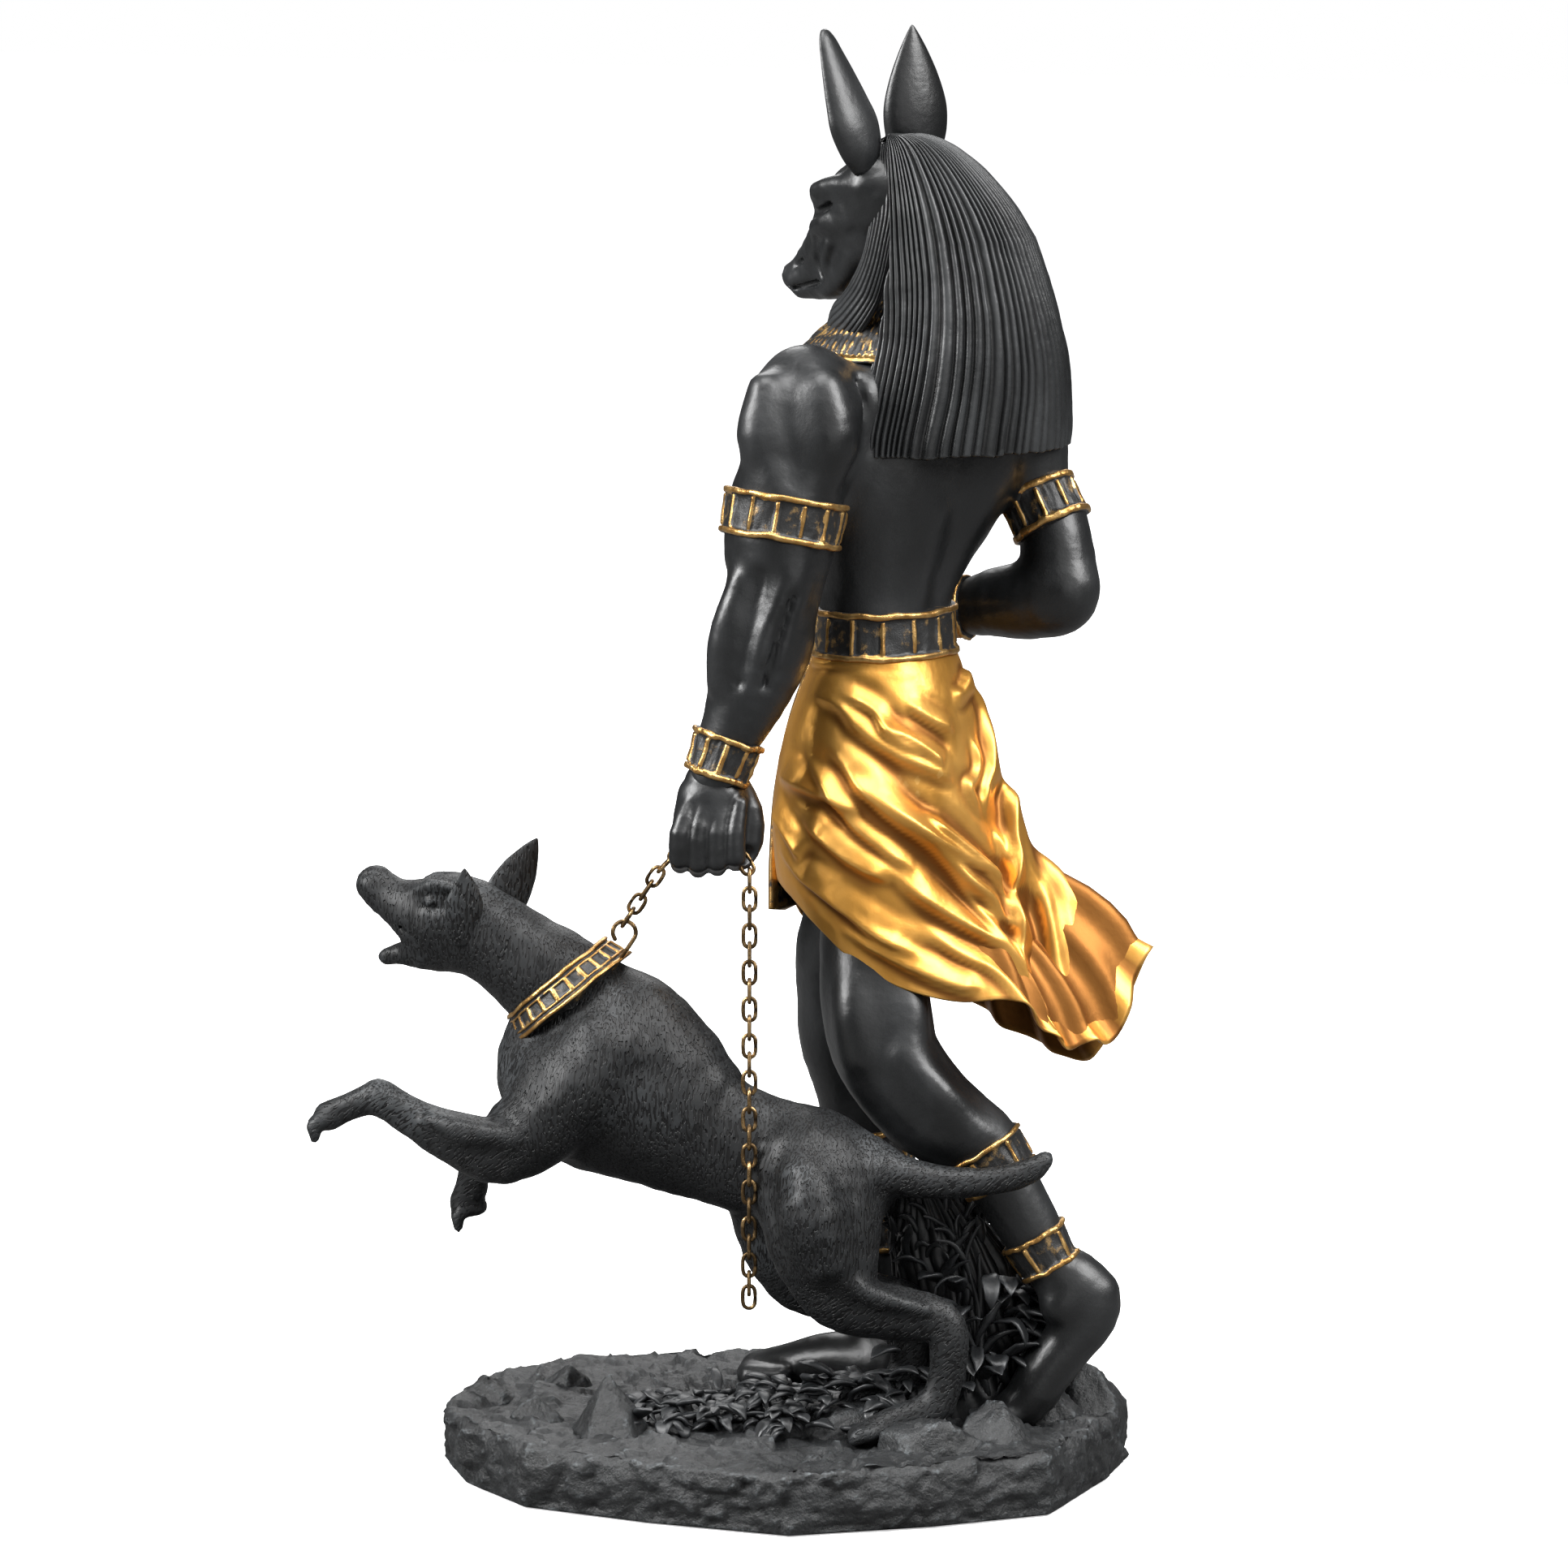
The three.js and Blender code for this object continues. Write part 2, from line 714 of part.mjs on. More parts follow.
// Route of the chain: from the collar's eye up to the fist, through it, and down to its free end.
function chainRoute() {
  const route = new THREE.CurvePath();
  const eye = point(-32.5, -17.6, 113.4);
  const entry = point(-24.6, -22.9, 126);
  const inside = point(-19, -25.3, 129.6);
  const leave = point(-10, -28, 129.8);
  const drop = point(-6.8, -29.3, 125.6);
  const end = point(-7, -29.5, 39.6);
  route.add(new THREE.LineCurve3(eye, entry));
  route.add(new THREE.QuadraticBezierCurve3(entry, point(-22.6, -24.2, 129.4), inside));
  route.add(new THREE.LineCurve3(inside, leave));
  route.add(new THREE.QuadraticBezierCurve3(leave, point(-6.7, -29.2, 129.9), drop));
  route.add(new THREE.LineCurve3(drop, end));
  return route;
}

function chainLinks(material) {
  const route = chainRoute();
  const length = route.getLength();
  const count = Math.floor((length - LINK_LENGTH / 2) / CHAIN_PITCH) + 1;
  const shape = linkGeometry();
  return Array.from({ length: count }, (_, i) => {
    const reach = LINK_LENGTH / 2 + i * CHAIN_PITCH;
    const a = route.getPointAt((reach - CHAIN_PITCH / 2) / length);
    const b = route.getPointAt(Math.min(1, (reach + CHAIN_PITCH / 2) / length));
    const along = b.clone().sub(a).normalize();
    const depth = point(0, 1, 0).addScaledVector(along, -along.y).normalize();
    const flat = i % 2 ? depth : along.clone().cross(depth);
    const across = flat.clone().cross(along);
    const link = new THREE.Mesh(shape.clone(), material);
    link.name = `chain_link_${String(i + 1).padStart(2, "0")}`;
    link.geometry.applyMatrix4(new THREE.Matrix4().makeBasis(along, across, flat));
    link.geometry.translate(...a.lerp(b, 0.5).toArray());
    return link;
  });
}

// Rim of the base, from the left end anticlockwise seen from above.
const BASE_RIM = [
  [-71, 1],
  [-66, -20],
  [-53, -41],
  [-28, -57],
  [1, -65],
  [30, -60],
  [54, -47.5],
  [66.5, -18],
  [71.4, 0],
  [66, 18],
  [50, 33],
  [24, 44],
  [-12, 47.5],
  [-44, 44],
  [-62, 28],
];

function baseBlock() {
  const rimCurve = new THREE.CurvePath();
  BASE_RIM.forEach(([x, y], i) => {
    const [nextX, nextY] = BASE_RIM[(i + 1) % BASE_RIM.length];
    rimCurve.add(new THREE.LineCurve3(point(x, y, 0), point(nextX, nextY, 0)));
  });
  const columns = 36;
  const stops = [
    [0.965, 0, 0],
    [1, 3, 0.6],
    [1, 9.5, 0.8],
    [0.965, 12.8, 0.8],
    [0.78, 12, 0.9],
    [0.4, 12.6, 1],
  ];
  const rings = stops.map(([share, z, rough], row) =>
    Array.from({ length: columns }, (_, k) => {
      const p = rimCurve.getPointAt(k / columns);
      const chip = 1 + (rough ? 0.012 * waver(k, row) : 0);
      return point(p.x * share * chip, p.y * share * chip, z + rough * waver(k * 1.7, row + 3));
    }),
  );
  return ringsToSolid(rings, point(0, -6, 0), point(0, -6, 13));
}

function rock([x, y, z], [wide, deep, high], seed, detail = 0) {
  const stone = new THREE.IcosahedronGeometry(1, detail);
  const place = stone.attributes.position;
  for (let i = 0; i < place.count; i += 1) {
    const key = Math.round(place.getX(i) * 31 + place.getY(i) * 57 + place.getZ(i) * 83);
    const swell = 1 + 0.14 * waver(key, seed);
    place.setXYZ(i, place.getX(i) * swell, place.getY(i) * swell, place.getZ(i) * swell);
  }
  stone.scale(wide, deep, high);
  stone.translate(x, y, z);
  return solidOf(stone);
}

function leaf([x, y, z], turn, length, rise, width) {
  const way = heading(turn);
  const rows = [0, 0.5, 1].map((t, i) => [
    x + way.x * length * t,
    y + way.y * length * t,
    z + rise * Math.sin(Math.PI * (0.15 + 0.75 * t)),
    width * [0.7, 1, 0.3][i],
  ]);
  return limb(rows, { sides: 4, across: UP, flat: 0.5, cap: 0.3 });
}

function undergrowth() {
  const clump = limb(
    [
      [40, -11, 9, 15],
      [40, -11.5, 24, 13],
      [38, -12, 40, 12.5],
      [35, -12.5, 53, 9],
    ],
    { sides: 12, flat: 0.72 },
  );
  const leaves = [];
  for (let i = 0; i < MOUND_LEAVES; i += 1) {
    const t = i / MOUND_LEAVES;
    const root = [-20 + 44 * t, -20 - 9 * waver(i, 1), 13 + 3 * t];
    leaves.push(leaf(root, 180 + 70 * waver(i, 2), 12 + 3 * waver(i, 3), 5, 3.2));
  }
  for (let i = 0; i < CLUMP_LEAVES; i += 1) {
    const turn = -170 + (200 * i) / CLUMP_LEAVES;
    const out = heading(turn);
    const root = [40 + 9 * out.x, -11.5 + 7 * out.y, 16 + 9 * (i % 3)];
    leaves.push(leaf(root, turn, 9 + 2 * waver(i, 6), 6, 2.8));
  }
  return [clump, ...leaves];
}

function base() {
  const rocks = [
    rock([-34, -27, 13], [9, 8, 9], 1),
    rock([-49, 1, 12.5], [5, 5, 4.5], 2),
    rock([-52, -19, 12.5], [5, 5, 4], 3),
    rock([30, -34, 10], [14, 10, 6.5], 4),
    rock([62, 0, 13], [8, 8, 7], 6),
    rock([54, -12, 12], [7, 7, 6], 7),
    rock([4, 16, 9], [20, 10, 4.5], 8),
    rock([6, -22, 10], [26, 13, 8], 12),
  ];
  const feet = [trailingLeg(WALL + CLEARANCE), trailingFoot(CLEARANCE), leadingFoot(CLEARANCE)];
  const paws = [houndHindLeg(0, 0, CLEARANCE), houndHindLeg(7, 17, CLEARANCE)];
  return joined([baseBlock(), ...rocks, ...undergrowth()]).subtract(joined([...feet, ...paws]));
}

// The largest closed skin of a solid: small pockets sealed under leaves are filled with resin.
function outerSkin(solid) {
  const { vertProperties, triVerts, numProp } = solid.getMesh();
  const group = Array.from({ length: vertProperties.length / numProp }, (_, i) => i);
  const find = (i) => {
    let root = i;
    while (group[root] !== root) root = group[root];
    group[i] = root;
    return root;
  };
  for (let i = 0; i < triVerts.length; i += 3) {
    group[find(triVerts[i + 1])] = find(triVerts[i]);
    group[find(triVerts[i + 2])] = find(triVerts[i]);
  }
  const faces = new Map();
  for (let i = 0; i < triVerts.length; i += 3) {
    const key = find(triVerts[i]);
    if (!faces.has(key)) faces.set(key, []);
    faces.get(key).push(triVerts[i], triVerts[i + 1], triVerts[i + 2]);
  }
  const skins = [...faces.values()].sort((a, b) => b.length - a.length);
  const geometry = new THREE.BufferGeometry();
  geometry.setAttribute(
    "position",
    new THREE.InterleavedBufferAttribute(new THREE.InterleavedBuffer(vertProperties, numProp), 3, 0),
  );
  geometry.setIndex(skins[0]);
  return geometry.toNonIndexed();
}

function named(name, solid, material) {
  const mesh = new THREE.Mesh(outerSkin(solid), material);
  mesh.name = name;
  return mesh;
}

const blackResin = new THREE.MeshStandardMaterial({ color: 0x1d1f21, roughness: 0.45, metalness: 0 });
const furResin = new THREE.MeshStandardMaterial({ color: 0x202224, roughness: 0.7, metalness: 0 });
const rockResin = new THREE.MeshStandardMaterial({ color: 0x25282a, roughness: 0.85, metalness: 0 });
const agedBrass = new THREE.MeshStandardMaterial({ color: 0x8a6a3c, roughness: 0.4, metalness: 1 });

const statuette = new THREE.Group();
statuette.add(named("base", base(), rockResin));
statuette.add(named("figure", figure(), blackResin));
statuette.add(named("hound", hound(), furResin));
statuette.add(named("collar_eye", collarEye(), agedBrass));
statuette.add(...chainLinks(agedBrass));
statuette.rotation.z = radians(STRIDE_TURN);
statuette.updateMatrixWorld(true);

export default statuette;
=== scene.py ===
"""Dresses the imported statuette: a jackal-headed man strides with a leaping hound on a chain.

Forms are laid out in millimetres in the sculptor's frame (x to the man's rear, y to his right,
z up), and each mesh is turned once and scaled to metres as it is made, as the solids are.
"""

from __future__ import annotations

import logging
import math
from dataclasses import dataclass, field
from enum import Enum

import bpy
import numpy as np
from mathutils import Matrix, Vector


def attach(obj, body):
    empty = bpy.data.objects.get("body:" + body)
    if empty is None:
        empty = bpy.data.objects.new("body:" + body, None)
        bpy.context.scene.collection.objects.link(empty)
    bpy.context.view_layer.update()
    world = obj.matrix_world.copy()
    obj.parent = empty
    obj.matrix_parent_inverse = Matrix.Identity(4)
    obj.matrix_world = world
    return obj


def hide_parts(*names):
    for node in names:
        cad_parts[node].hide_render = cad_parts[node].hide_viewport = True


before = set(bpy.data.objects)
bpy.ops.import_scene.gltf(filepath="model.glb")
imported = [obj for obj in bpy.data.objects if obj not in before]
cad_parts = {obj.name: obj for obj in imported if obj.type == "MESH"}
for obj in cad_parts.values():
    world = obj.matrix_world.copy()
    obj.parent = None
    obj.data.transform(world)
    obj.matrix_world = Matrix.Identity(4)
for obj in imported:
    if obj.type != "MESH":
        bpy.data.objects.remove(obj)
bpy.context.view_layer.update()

Array = np.ndarray
Rows = tuple[tuple[float, ...], ...]
LOG = logging.getLogger("statuette")
MILLIMETRE = 0.001
STRIDE_TURN = math.radians(112.0)
UP = np.array([0.0, 0.0, 1.0])
REARWARD = np.array([1.0, 0.0, 0.0])
RIGHTWARD = np.array([0.0, 1.0, 0.0])


def heading(degrees: float) -> Array:
    """Level unit vector at an angle from the rearward axis."""
    a = math.radians(degrees)
    return np.array([math.cos(a), math.sin(a), 0.0])


def unit(vectors: Array) -> Array:
    """Vectors scaled to length one along the last axis."""
    return vectors / np.maximum(np.linalg.norm(vectors, axis=-1, keepdims=True), 1e-9)


def circle(count: int) -> Array:
    """Angles in radians that go once round in even steps."""
    return np.linspace(0, 2 * np.pi, count, endpoint=False)


def outwards(angles: Array) -> Array:
    """Level unit vectors at angles in radians."""
    return np.stack([np.cos(angles), np.sin(angles), 0 * angles], -1)


def smooth(values: Array, low: float, high: float) -> Array:
    """Eased step: 0 below `low`, 1 above `high`, 3t^2 - 2t^3 between."""
    t = np.clip((values - low) / (high - low), 0.0, 1.0)
    return t * t * (3.0 - 2.0 * t)


def spline(rows: Rows | Array, count: int) -> Array:
    """Catmull-Rom curve through rows of numbers.

    Args:
        rows: One row per knot; all columns are carried along.
        count: How many rows to return, evenly spaced in the knots' numbering.

    Returns:
        Rows on the curve; each span is a cubic whose end slopes join the knots beside it.
    """
    p = np.asarray(rows, float)
    p = np.vstack([2 * p[0] - p[1], p, 2 * p[-1] - p[-2]])
    u = np.linspace(0.0, len(p) - 3.0, count)
    i = np.minimum(u.astype(int), len(p) - 4)
    t = (u - i)[:, None]
    a, b, c, d = p[i], p[i + 1], p[i + 2], p[i + 3]
    return 0.5 * (
        2 * b + (c - a) * t + (2 * a - 5 * b + 4 * c - d) * t**2 + (3 * b - a - 3 * c + d) * t**3
    )


def periodic(table: Array, turn: Array) -> Array:
    """Smooth values round a full turn from a table of [degrees, value, ...] rows.

    Args:
        table: Rows in rising order of degrees, covering one turn.
        turn: Angles in degrees.

    Returns:
        Hermite cubic between neighbouring rows, with each slope taken across its neighbours.
    """
    knots = np.concatenate([table[:, 0] - 360, table[:, 0], table[:, 0] + 360])
    values = np.tile(table[:, 1:], (3, 1))
    slopes = np.zeros_like(values)
    slopes[1:-1] = (values[2:] - values[:-2]) / (knots[2:] - knots[:-2])[:, None]
    x = (turn + 180.0) % 360.0 - 180.0
    i = np.clip(np.searchsorted(knots, x, side="right") - 1, 0, len(knots) - 2)
    h = (knots[i + 1] - knots[i])[..., None]
    s = (x - knots[i])[..., None] / h
    return (
        (2 * s**3 - 3 * s**2 + 1) * values[i]
        + (s**3 - 2 * s**2 + s) * h * slopes[i]
        + (3 * s**2 - 2 * s**3) * values[i + 1]
        + (s**3 - s**2) * h * slopes[i + 1]
    )


def lattice(i: Array, j: Array, k: Array, seed: int) -> Array:
    """Repeatable value in -1..1 for each whole-numbered lattice point, by mixing its bits."""
    h = (i * 374761393 + j * 668265263 + k * 2147483647 + seed * 144269504) & 0xFFFFFFFF
    h = ((h ^ (h >> 13)) * 1274126177) & 0xFFFFFFFF
    h = h ^ (h >> 16)
    return (h & 0xFFFF) / 32767.5 - 1.0


def noise(points: Array, scale: float, seed: int = 0) -> Array:
    """Smooth value noise in -1..1: lattice values eased between the eight corners of a cell."""
    p = np.asarray(points, float) / scale
    base = np.floor(p).astype(np.int64)
    f = p - base
    f = f * f * (3 - 2 * f)
    total = np.zeros(p.shape[:-1])
    for dx in (0, 1):
        for dy in (0, 1):
            for dz in (0, 1):
                corner = lattice(base[..., 0] + dx, base[..., 1] + dy, base[..., 2] + dz, seed)
                weight = (
                    (f[..., 0] if dx else 1 - f[..., 0])
                    * (f[..., 1] if dy else 1 - f[..., 1])
                    * (f[..., 2] if dz else 1 - f[..., 2])
                )
                total += corner * weight
    return total


def fbm(points: Array, scale: float, octaves: int = 4, seed: int = 0) -> Array:
    """Layered noise: each octave is half the size and half the height of the one before."""
    layers = [noise(points, scale / 2**n, seed + n) / 2**n for n in range(octaves)]
    return np.sum(layers, axis=0)


def facets(points: Array, scale: float, seed: int = 0) -> Array:
    """Hewn relief, about -1..1: space is split among jittered middles, each with its tilted plane.

    Args:
        points: Places.
        scale: Usual distance between middles.
        seed: Number that picks the pattern.

    Returns:
        The plane height of the nearest middle: half its slope times the way from it, plus its level.
    """
    p = np.asarray(points, float) / scale
    base = np.floor(p).astype(np.int64)
    best = np.full(p.shape[:-1], 9.0)
    height = np.zeros(p.shape[:-1])
    for n in range(27):
        cell = base + np.array([n // 9 - 1, n // 3 % 3 - 1, n % 3 - 1])
        i, j, k = cell[..., 0], cell[..., 1], cell[..., 2]
        gap = p - cell - 0.5 - 0.45 * np.stack([lattice(i, j, k, seed + m) for m in range(3)], -1)
        slope = np.stack([lattice(i, j, k, seed + 3 + m) for m in range(3)], -1)
        far = np.sum(gap * gap, -1)
        plane = 0.8 * np.sum(slope * gap, -1) + 0.4 * lattice(i, j, k, seed + 6)
        height = np.where(far < best, plane, height)
        best = np.minimum(far, best)
    return height


@dataclass
class Shell:
    """A closed skin in the sculptor's millimetres.

    Attributes:
        points: Vertex places, one row each.
        quads: Four point numbers per face.
        triangles: Three point numbers per face.
        masks: Painted values, one number per point.
    """

    points: Array
    quads: Array
    triangles: Array = field(default_factory=lambda: np.zeros((0, 3), int))
    masks: dict[str, Array] = field(default_factory=dict)

    def volume(self) -> float:
        """Signed volume: the sum over faces of the tetrahedra that they make with the origin."""
        p = self.points
        tris = np.vstack([self.triangles, self.quads[:, [0, 1, 2]], self.quads[:, [0, 2, 3]]])
        return float(np.einsum("ij,ij->i", p[tris[:, 0]], np.cross(p[tris[:, 1]], p[tris[:, 2]])).sum())

    def outward(self) -> Shell:
        """The same skin with its faces pointing out."""
        if self.volume() < 0:
            self.quads = self.quads[:, ::-1]
            self.triangles = self.triangles[:, ::-1]
        return self

    def relaxed(self, rounds: int) -> Shell:
        """Skin with its stair marks eased: each round pulls points to their neighbours and pushes back.

        Args:
            rounds: How many pairs of pull and push, which leave the bulk as it was.
        """
        a = self.quads.ravel()
        b = self.quads[:, [1, 2, 3, 0]].ravel()
        degree = np.bincount(a, minlength=len(self.points)) + np.bincount(b, minlength=len(self.points))
        degree = np.maximum(degree, 1)[:, None]
        pull, push = 0.5, -0.53
        for step in [pull, push] * rounds:
            around = np.zeros_like(self.points)
            for axis in range(3):
                around[:, axis] = np.bincount(a, self.points[b, axis], len(self.points))
                around[:, axis] += np.bincount(b, self.points[a, axis], len(self.points))
            self.points = self.points + step * (around / degree - self.points)
        return self

    def normals(self) -> Array:
        """Outward unit vector at each point, from the faces round it."""
        p, q = self.points, self.quads
        face = np.cross(p[q[:, 2]] - p[q[:, 0]], p[q[:, 3]] - p[q[:, 1]])
        total = np.zeros_like(p)
        for corner in range(4):
            for axis in range(3):
                total[:, axis] += np.bincount(q[:, corner], face[:, axis], len(p))
        return unit(total)


def grid_shell(
    points: Array, poles: tuple[Array, Array] | None = None, masks: dict[str, Array] | None = None
) -> Shell:
    """Skin over a grid of rings.

    Args:
        points: Rings by columns by xyz; each ring closes on itself.
        poles: Points that close the first and last rings, or None to join those rings instead.
        masks: Painted values, rings by columns.

    Returns:
        A closed skin with outward faces.
    """
    rings, columns = points.shape[:2]
    flat = points.reshape(-1, 3)
    number = np.arange(rings * columns).reshape(rings, columns)
    beside = np.roll(number, -1, axis=1)
    if poles is None:
        above = np.roll(number, -1, axis=0)
        quads = np.stack([number, beside, np.roll(beside, -1, axis=0), above], -1).reshape(-1, 4)
        shell = Shell(flat, quads)
        shell.masks = {k: v.ravel() for k, v in (masks or {}).items()}
        return shell.outward()
    quads = np.stack([number[:-1], beside[:-1], beside[1:], number[1:]], -1).reshape(-1, 4)
    first, last = len(flat), len(flat) + 1
    fans = np.vstack([
        np.stack([np.full(columns, first), beside[0], number[0]], -1),
        np.stack([np.full(columns, last), number[-1], beside[-1]], -1),
    ])
    shell = Shell(np.vstack([flat, poles[0], poles[1]]), quads, fans)
    shell.masks = {
        k: np.concatenate([v.ravel(), [v[0].mean(), v[-1].mean()]]) for k, v in (masks or {}).items()
    }
    return shell.outward()


def joined(shells: list[Shell]) -> Shell:
    """Several skins as one, with the masks that they share."""
    starts = np.cumsum([0] + [len(s.points) for s in shells[:-1]])
    keys = set.intersection(*(set(s.masks) for s in shells))
    return Shell(
        np.vstack([s.points for s in shells]),
        np.vstack([s.quads + n for s, n in zip(shells, starts)]),
        np.vstack([s.triangles + n for s, n in zip(shells, starts)]),
        {k: np.concatenate([s.masks[k] for s in shells]) for k in keys},
    )


def frames(path: Array, across: Array) -> tuple[Array, Array, Array]:
    """Directions along a path: its run, a side held near `across`, and the third square to both."""
    run = unit(np.gradient(path, axis=0))
    side = unit(across - run * np.sum(run * across, axis=-1, keepdims=True))
    return run, side, np.cross(run, side)


def swept(path: Array, u: Array, side: Array, v: Array, third: Array) -> Array:
    """Rings of points along a path: path + u side + v third, with u and v per ring and column."""
    return path[:, None] + u[..., None] * side[:, None] + v[..., None] * third[:, None]


def tube(rows: Array, sides: int, across: Array, flat: float = 1.0, dome: int = 4) -> Shell:
    """Round or flattened rod along rows of [x, y, z, radius], with domed ends.

    Each ring is the path's point plus radius times (flat cos a, sin a) in the plane square to the
    run; at either end a quarter circle shrinks the radius as the ring moves out.

    Args:
        rows: Places and radii along the rod.
        sides: Points round it.
        across: Direction of the first axis of the section.
        flat: Scale of that axis.
        dome: Rings in each end.
    """
    run, side, third = frames(rows[:, :3], across)
    a = circle(sides)
    q = np.linspace(0, np.pi / 2, dome, endpoint=False)
    order = np.concatenate([np.zeros(dome, int), np.arange(1, len(rows) - 1), np.full(dome, len(rows) - 1)])
    shrink = np.concatenate([np.sin(q + np.pi / 2 / dome / 2), np.ones(len(rows) - 2), np.cos(q)])
    out = np.concatenate([-np.cos(q + np.pi / 2 / dome / 2), np.zeros(len(rows) - 2), np.sin(q)])
    r = rows[order, 3]
    centre = rows[order, :3] + run[order] * (out * r)[:, None]
    reach = (r * shrink)[:, None]
    points = swept(centre, reach * flat * np.cos(a), side[order], reach * np.sin(a), third[order])
    ends = (rows[0, :3] - run[0] * rows[0, 3], rows[-1, :3] + run[-1] * rows[-1, 3])
    return grid_shell(points, ends)


@dataclass
class Clay:
    """A lump of modelling clay: a grid of distances to the skin, built up by smooth joins.

    Attributes:
        low: Lowest corner of the block.
        high: Highest corner.
        pitch: Grid step, which sets the skin's fineness.
        air: Distance to any skin that the empty block starts with.
    """

    low: tuple[float, float, float]
    high: tuple[float, float, float]
    pitch: float
    air: float = 4.0

    def __post_init__(self) -> None:
        """Starts as a block of empty air."""
        self.origin = np.array(self.low, float)
        self.shape = tuple(np.ceil((np.array(self.high) - self.origin) / self.pitch).astype(int) + 1)
        self.distance = np.full(self.shape, self.air, np.float32)

    def window(self, low: Array, high: Array) -> tuple[tuple[slice, ...], Array]:
        """The part of the grid between two corners: its slices and the places of its points."""
        first = np.clip(np.floor((low - self.origin) / self.pitch).astype(int), 0, self.shape)
        last = np.clip(np.ceil((high - self.origin) / self.pitch).astype(int) + 1, 0, self.shape)
        axes = [self.origin[k] + self.pitch * np.arange(first[k], last[k]) for k in range(3)]
        cut = tuple(slice(int(first[k]), int(last[k])) for k in range(3))
        return cut, np.stack(np.meshgrid(*axes, indexing="ij"), -1)

    def merge(self, cut: tuple[slice, ...], new: Array, blend: float, carve: bool) -> None:
        """Joins or carves with a rounded seam: min(a, b) - h^2 k / 4, where h = (k - |a - b|) / k."""
        old = self.distance[cut]
        other = -new if carve else new
        h = np.maximum(blend - np.abs(old - other), 0) / max(blend, 1e-6)
        ease = h * h * blend / 4
        self.distance[cut] = np.maximum(old, other) + ease if carve else np.minimum(old, other) - ease

    def limb(
        self,
        rows: Rows | Array,
        blend: float = 3.0,
        flat: float = 1.0,
        across: Array = RIGHTWARD,
        carve: bool = False,
    ) -> Clay:
        """A limb, muscle or groove along [x, y, z, radius] rows, eased between them by a spline.

        The distance is that to the nearest of many short cones: the length from a point to its
        place on the cone's axis, less the radius there, with `across` stretched by 1 / flat.
        """
        knots = np.asarray(rows, float)
        length = np.linalg.norm(np.diff(knots[:, :3], axis=0), axis=1).sum()
        path = spline(knots, max(3, int(length / 3) + 2))
        reach = path[:, 3].max() + blend + 2
        cut, grid = self.window(path[:, :3].min(0) - reach, path[:, :3].max(0) + reach)
        nearest = np.full(grid.shape[:3], 1e3)
        for a, b in zip(path[:-1], path[1:]):
            inner, near = self.window(
                np.minimum(a[:3], b[:3]) - max(a[3], b[3]) - blend - 2,
                np.maximum(a[:3], b[:3]) + max(a[3], b[3]) + blend + 2,
            )
            run = b[:3] - a[:3]
            t = np.clip(((near - a[:3]) @ run) / max(run @ run, 1e-9), 0, 1)
            away = near - a[:3] - t[..., None] * run
            if flat != 1.0:
                away = away + across * ((away @ across) * (1 / flat - 1))[..., None]
            d = np.sqrt(np.sum(away * away, -1)) - (a[3] + t * (b[3] - a[3]))
            part = tuple(
                slice(inner[k].start - cut[k].start, inner[k].stop - cut[k].start) for k in range(3)
            )
            nearest[part] = np.minimum(nearest[part], d)
        self.merge(cut, nearest, blend, carve)
        return self

    def mass(
        self,
        centre: tuple[float, ...] | Array,
        halves: tuple[float, ...],
        lean: Array = REARWARD,
        blend: float = 3.0,
        carve: bool = False,
    ) -> Clay:
        """A rounded mass; its distance is k0 (k0 - 1) / k1 for the scaled lengths k0 and k1.

        Args:
            centre: Middle of the mass.
            halves: Half sizes along `lean`, across it and on its third axis.
            lean: Direction of the first half size.
            blend: Width of the rounded seam.
            carve: Takes the mass out instead.
        """
        lean = unit(lean)
        side = np.cross(UP, lean)
        side = unit(side) if np.linalg.norm(side) > 1e-3 else RIGHTWARD
        axes = np.stack([lean, side, np.cross(lean, side)])
        reach = max(halves) + blend + 2
        cut, grid = self.window(np.array(centre) - reach, np.array(centre) + reach)
        local = (grid - np.array(centre)) @ axes.T
        sizes = np.array(halves, float)
        k0 = np.sqrt(np.sum((local / sizes) ** 2, -1))
        k1 = np.sqrt(np.sum((local / sizes**2) ** 2, -1))
        self.merge(cut, k0 * (k0 - 1) / np.maximum(k1, 1e-6), blend, carve)
        return self

    def column(self, rows: Rows, blend: float = 3.0) -> Clay:
        """An upright trunk through [x, y, z, wide, deep, turn, furrow] rows in rising z.

        At each height the section is an ellipse, turned, with a dip of depth furrow that fades as
        exp(-(cos a / 0.3)^2) on both sides of its middle.
        """
        knots = spline(rows, 60)
        low, high = knots[:, 2].min(), knots[:, 2].max()
        reach = knots[:, 3].max() + 6
        corner = knots[:, :2]
        cut, grid = self.window(
            np.array([*corner.min(0) - reach, low - 3]), np.array([*corner.max(0) + reach, high + 3])
        )
        z = np.clip(grid[0, 0, :, 2], low, high)
        x0, y0, wide, deep, turn, furrow = (
            np.interp(z, knots[:, 2], knots[:, k]) for k in (0, 1, 3, 4, 5, 6)
        )
        c, s = np.cos(np.radians(turn)), np.sin(np.radians(turn))
        dx, dy = grid[..., 0] - x0, grid[..., 1] - y0
        u, v = dx * c + dy * s, dy * c - dx * s
        cosine = u / wide / np.maximum(np.hypot(u / wide, v / deep), 1e-6)
        deep = deep * (1 - furrow * np.exp(-((cosine / 0.3) ** 2)))
        k0 = np.hypot(u / wide, v / deep)
        k1 = np.hypot(u / wide**2, v / deep**2)
        d = k0 * (k0 - 1) / np.maximum(k1, 1e-6)
        d = np.maximum(d, np.maximum(grid[..., 2] - high, low - grid[..., 2]))
        self.merge(cut, d, blend, False)
        return self

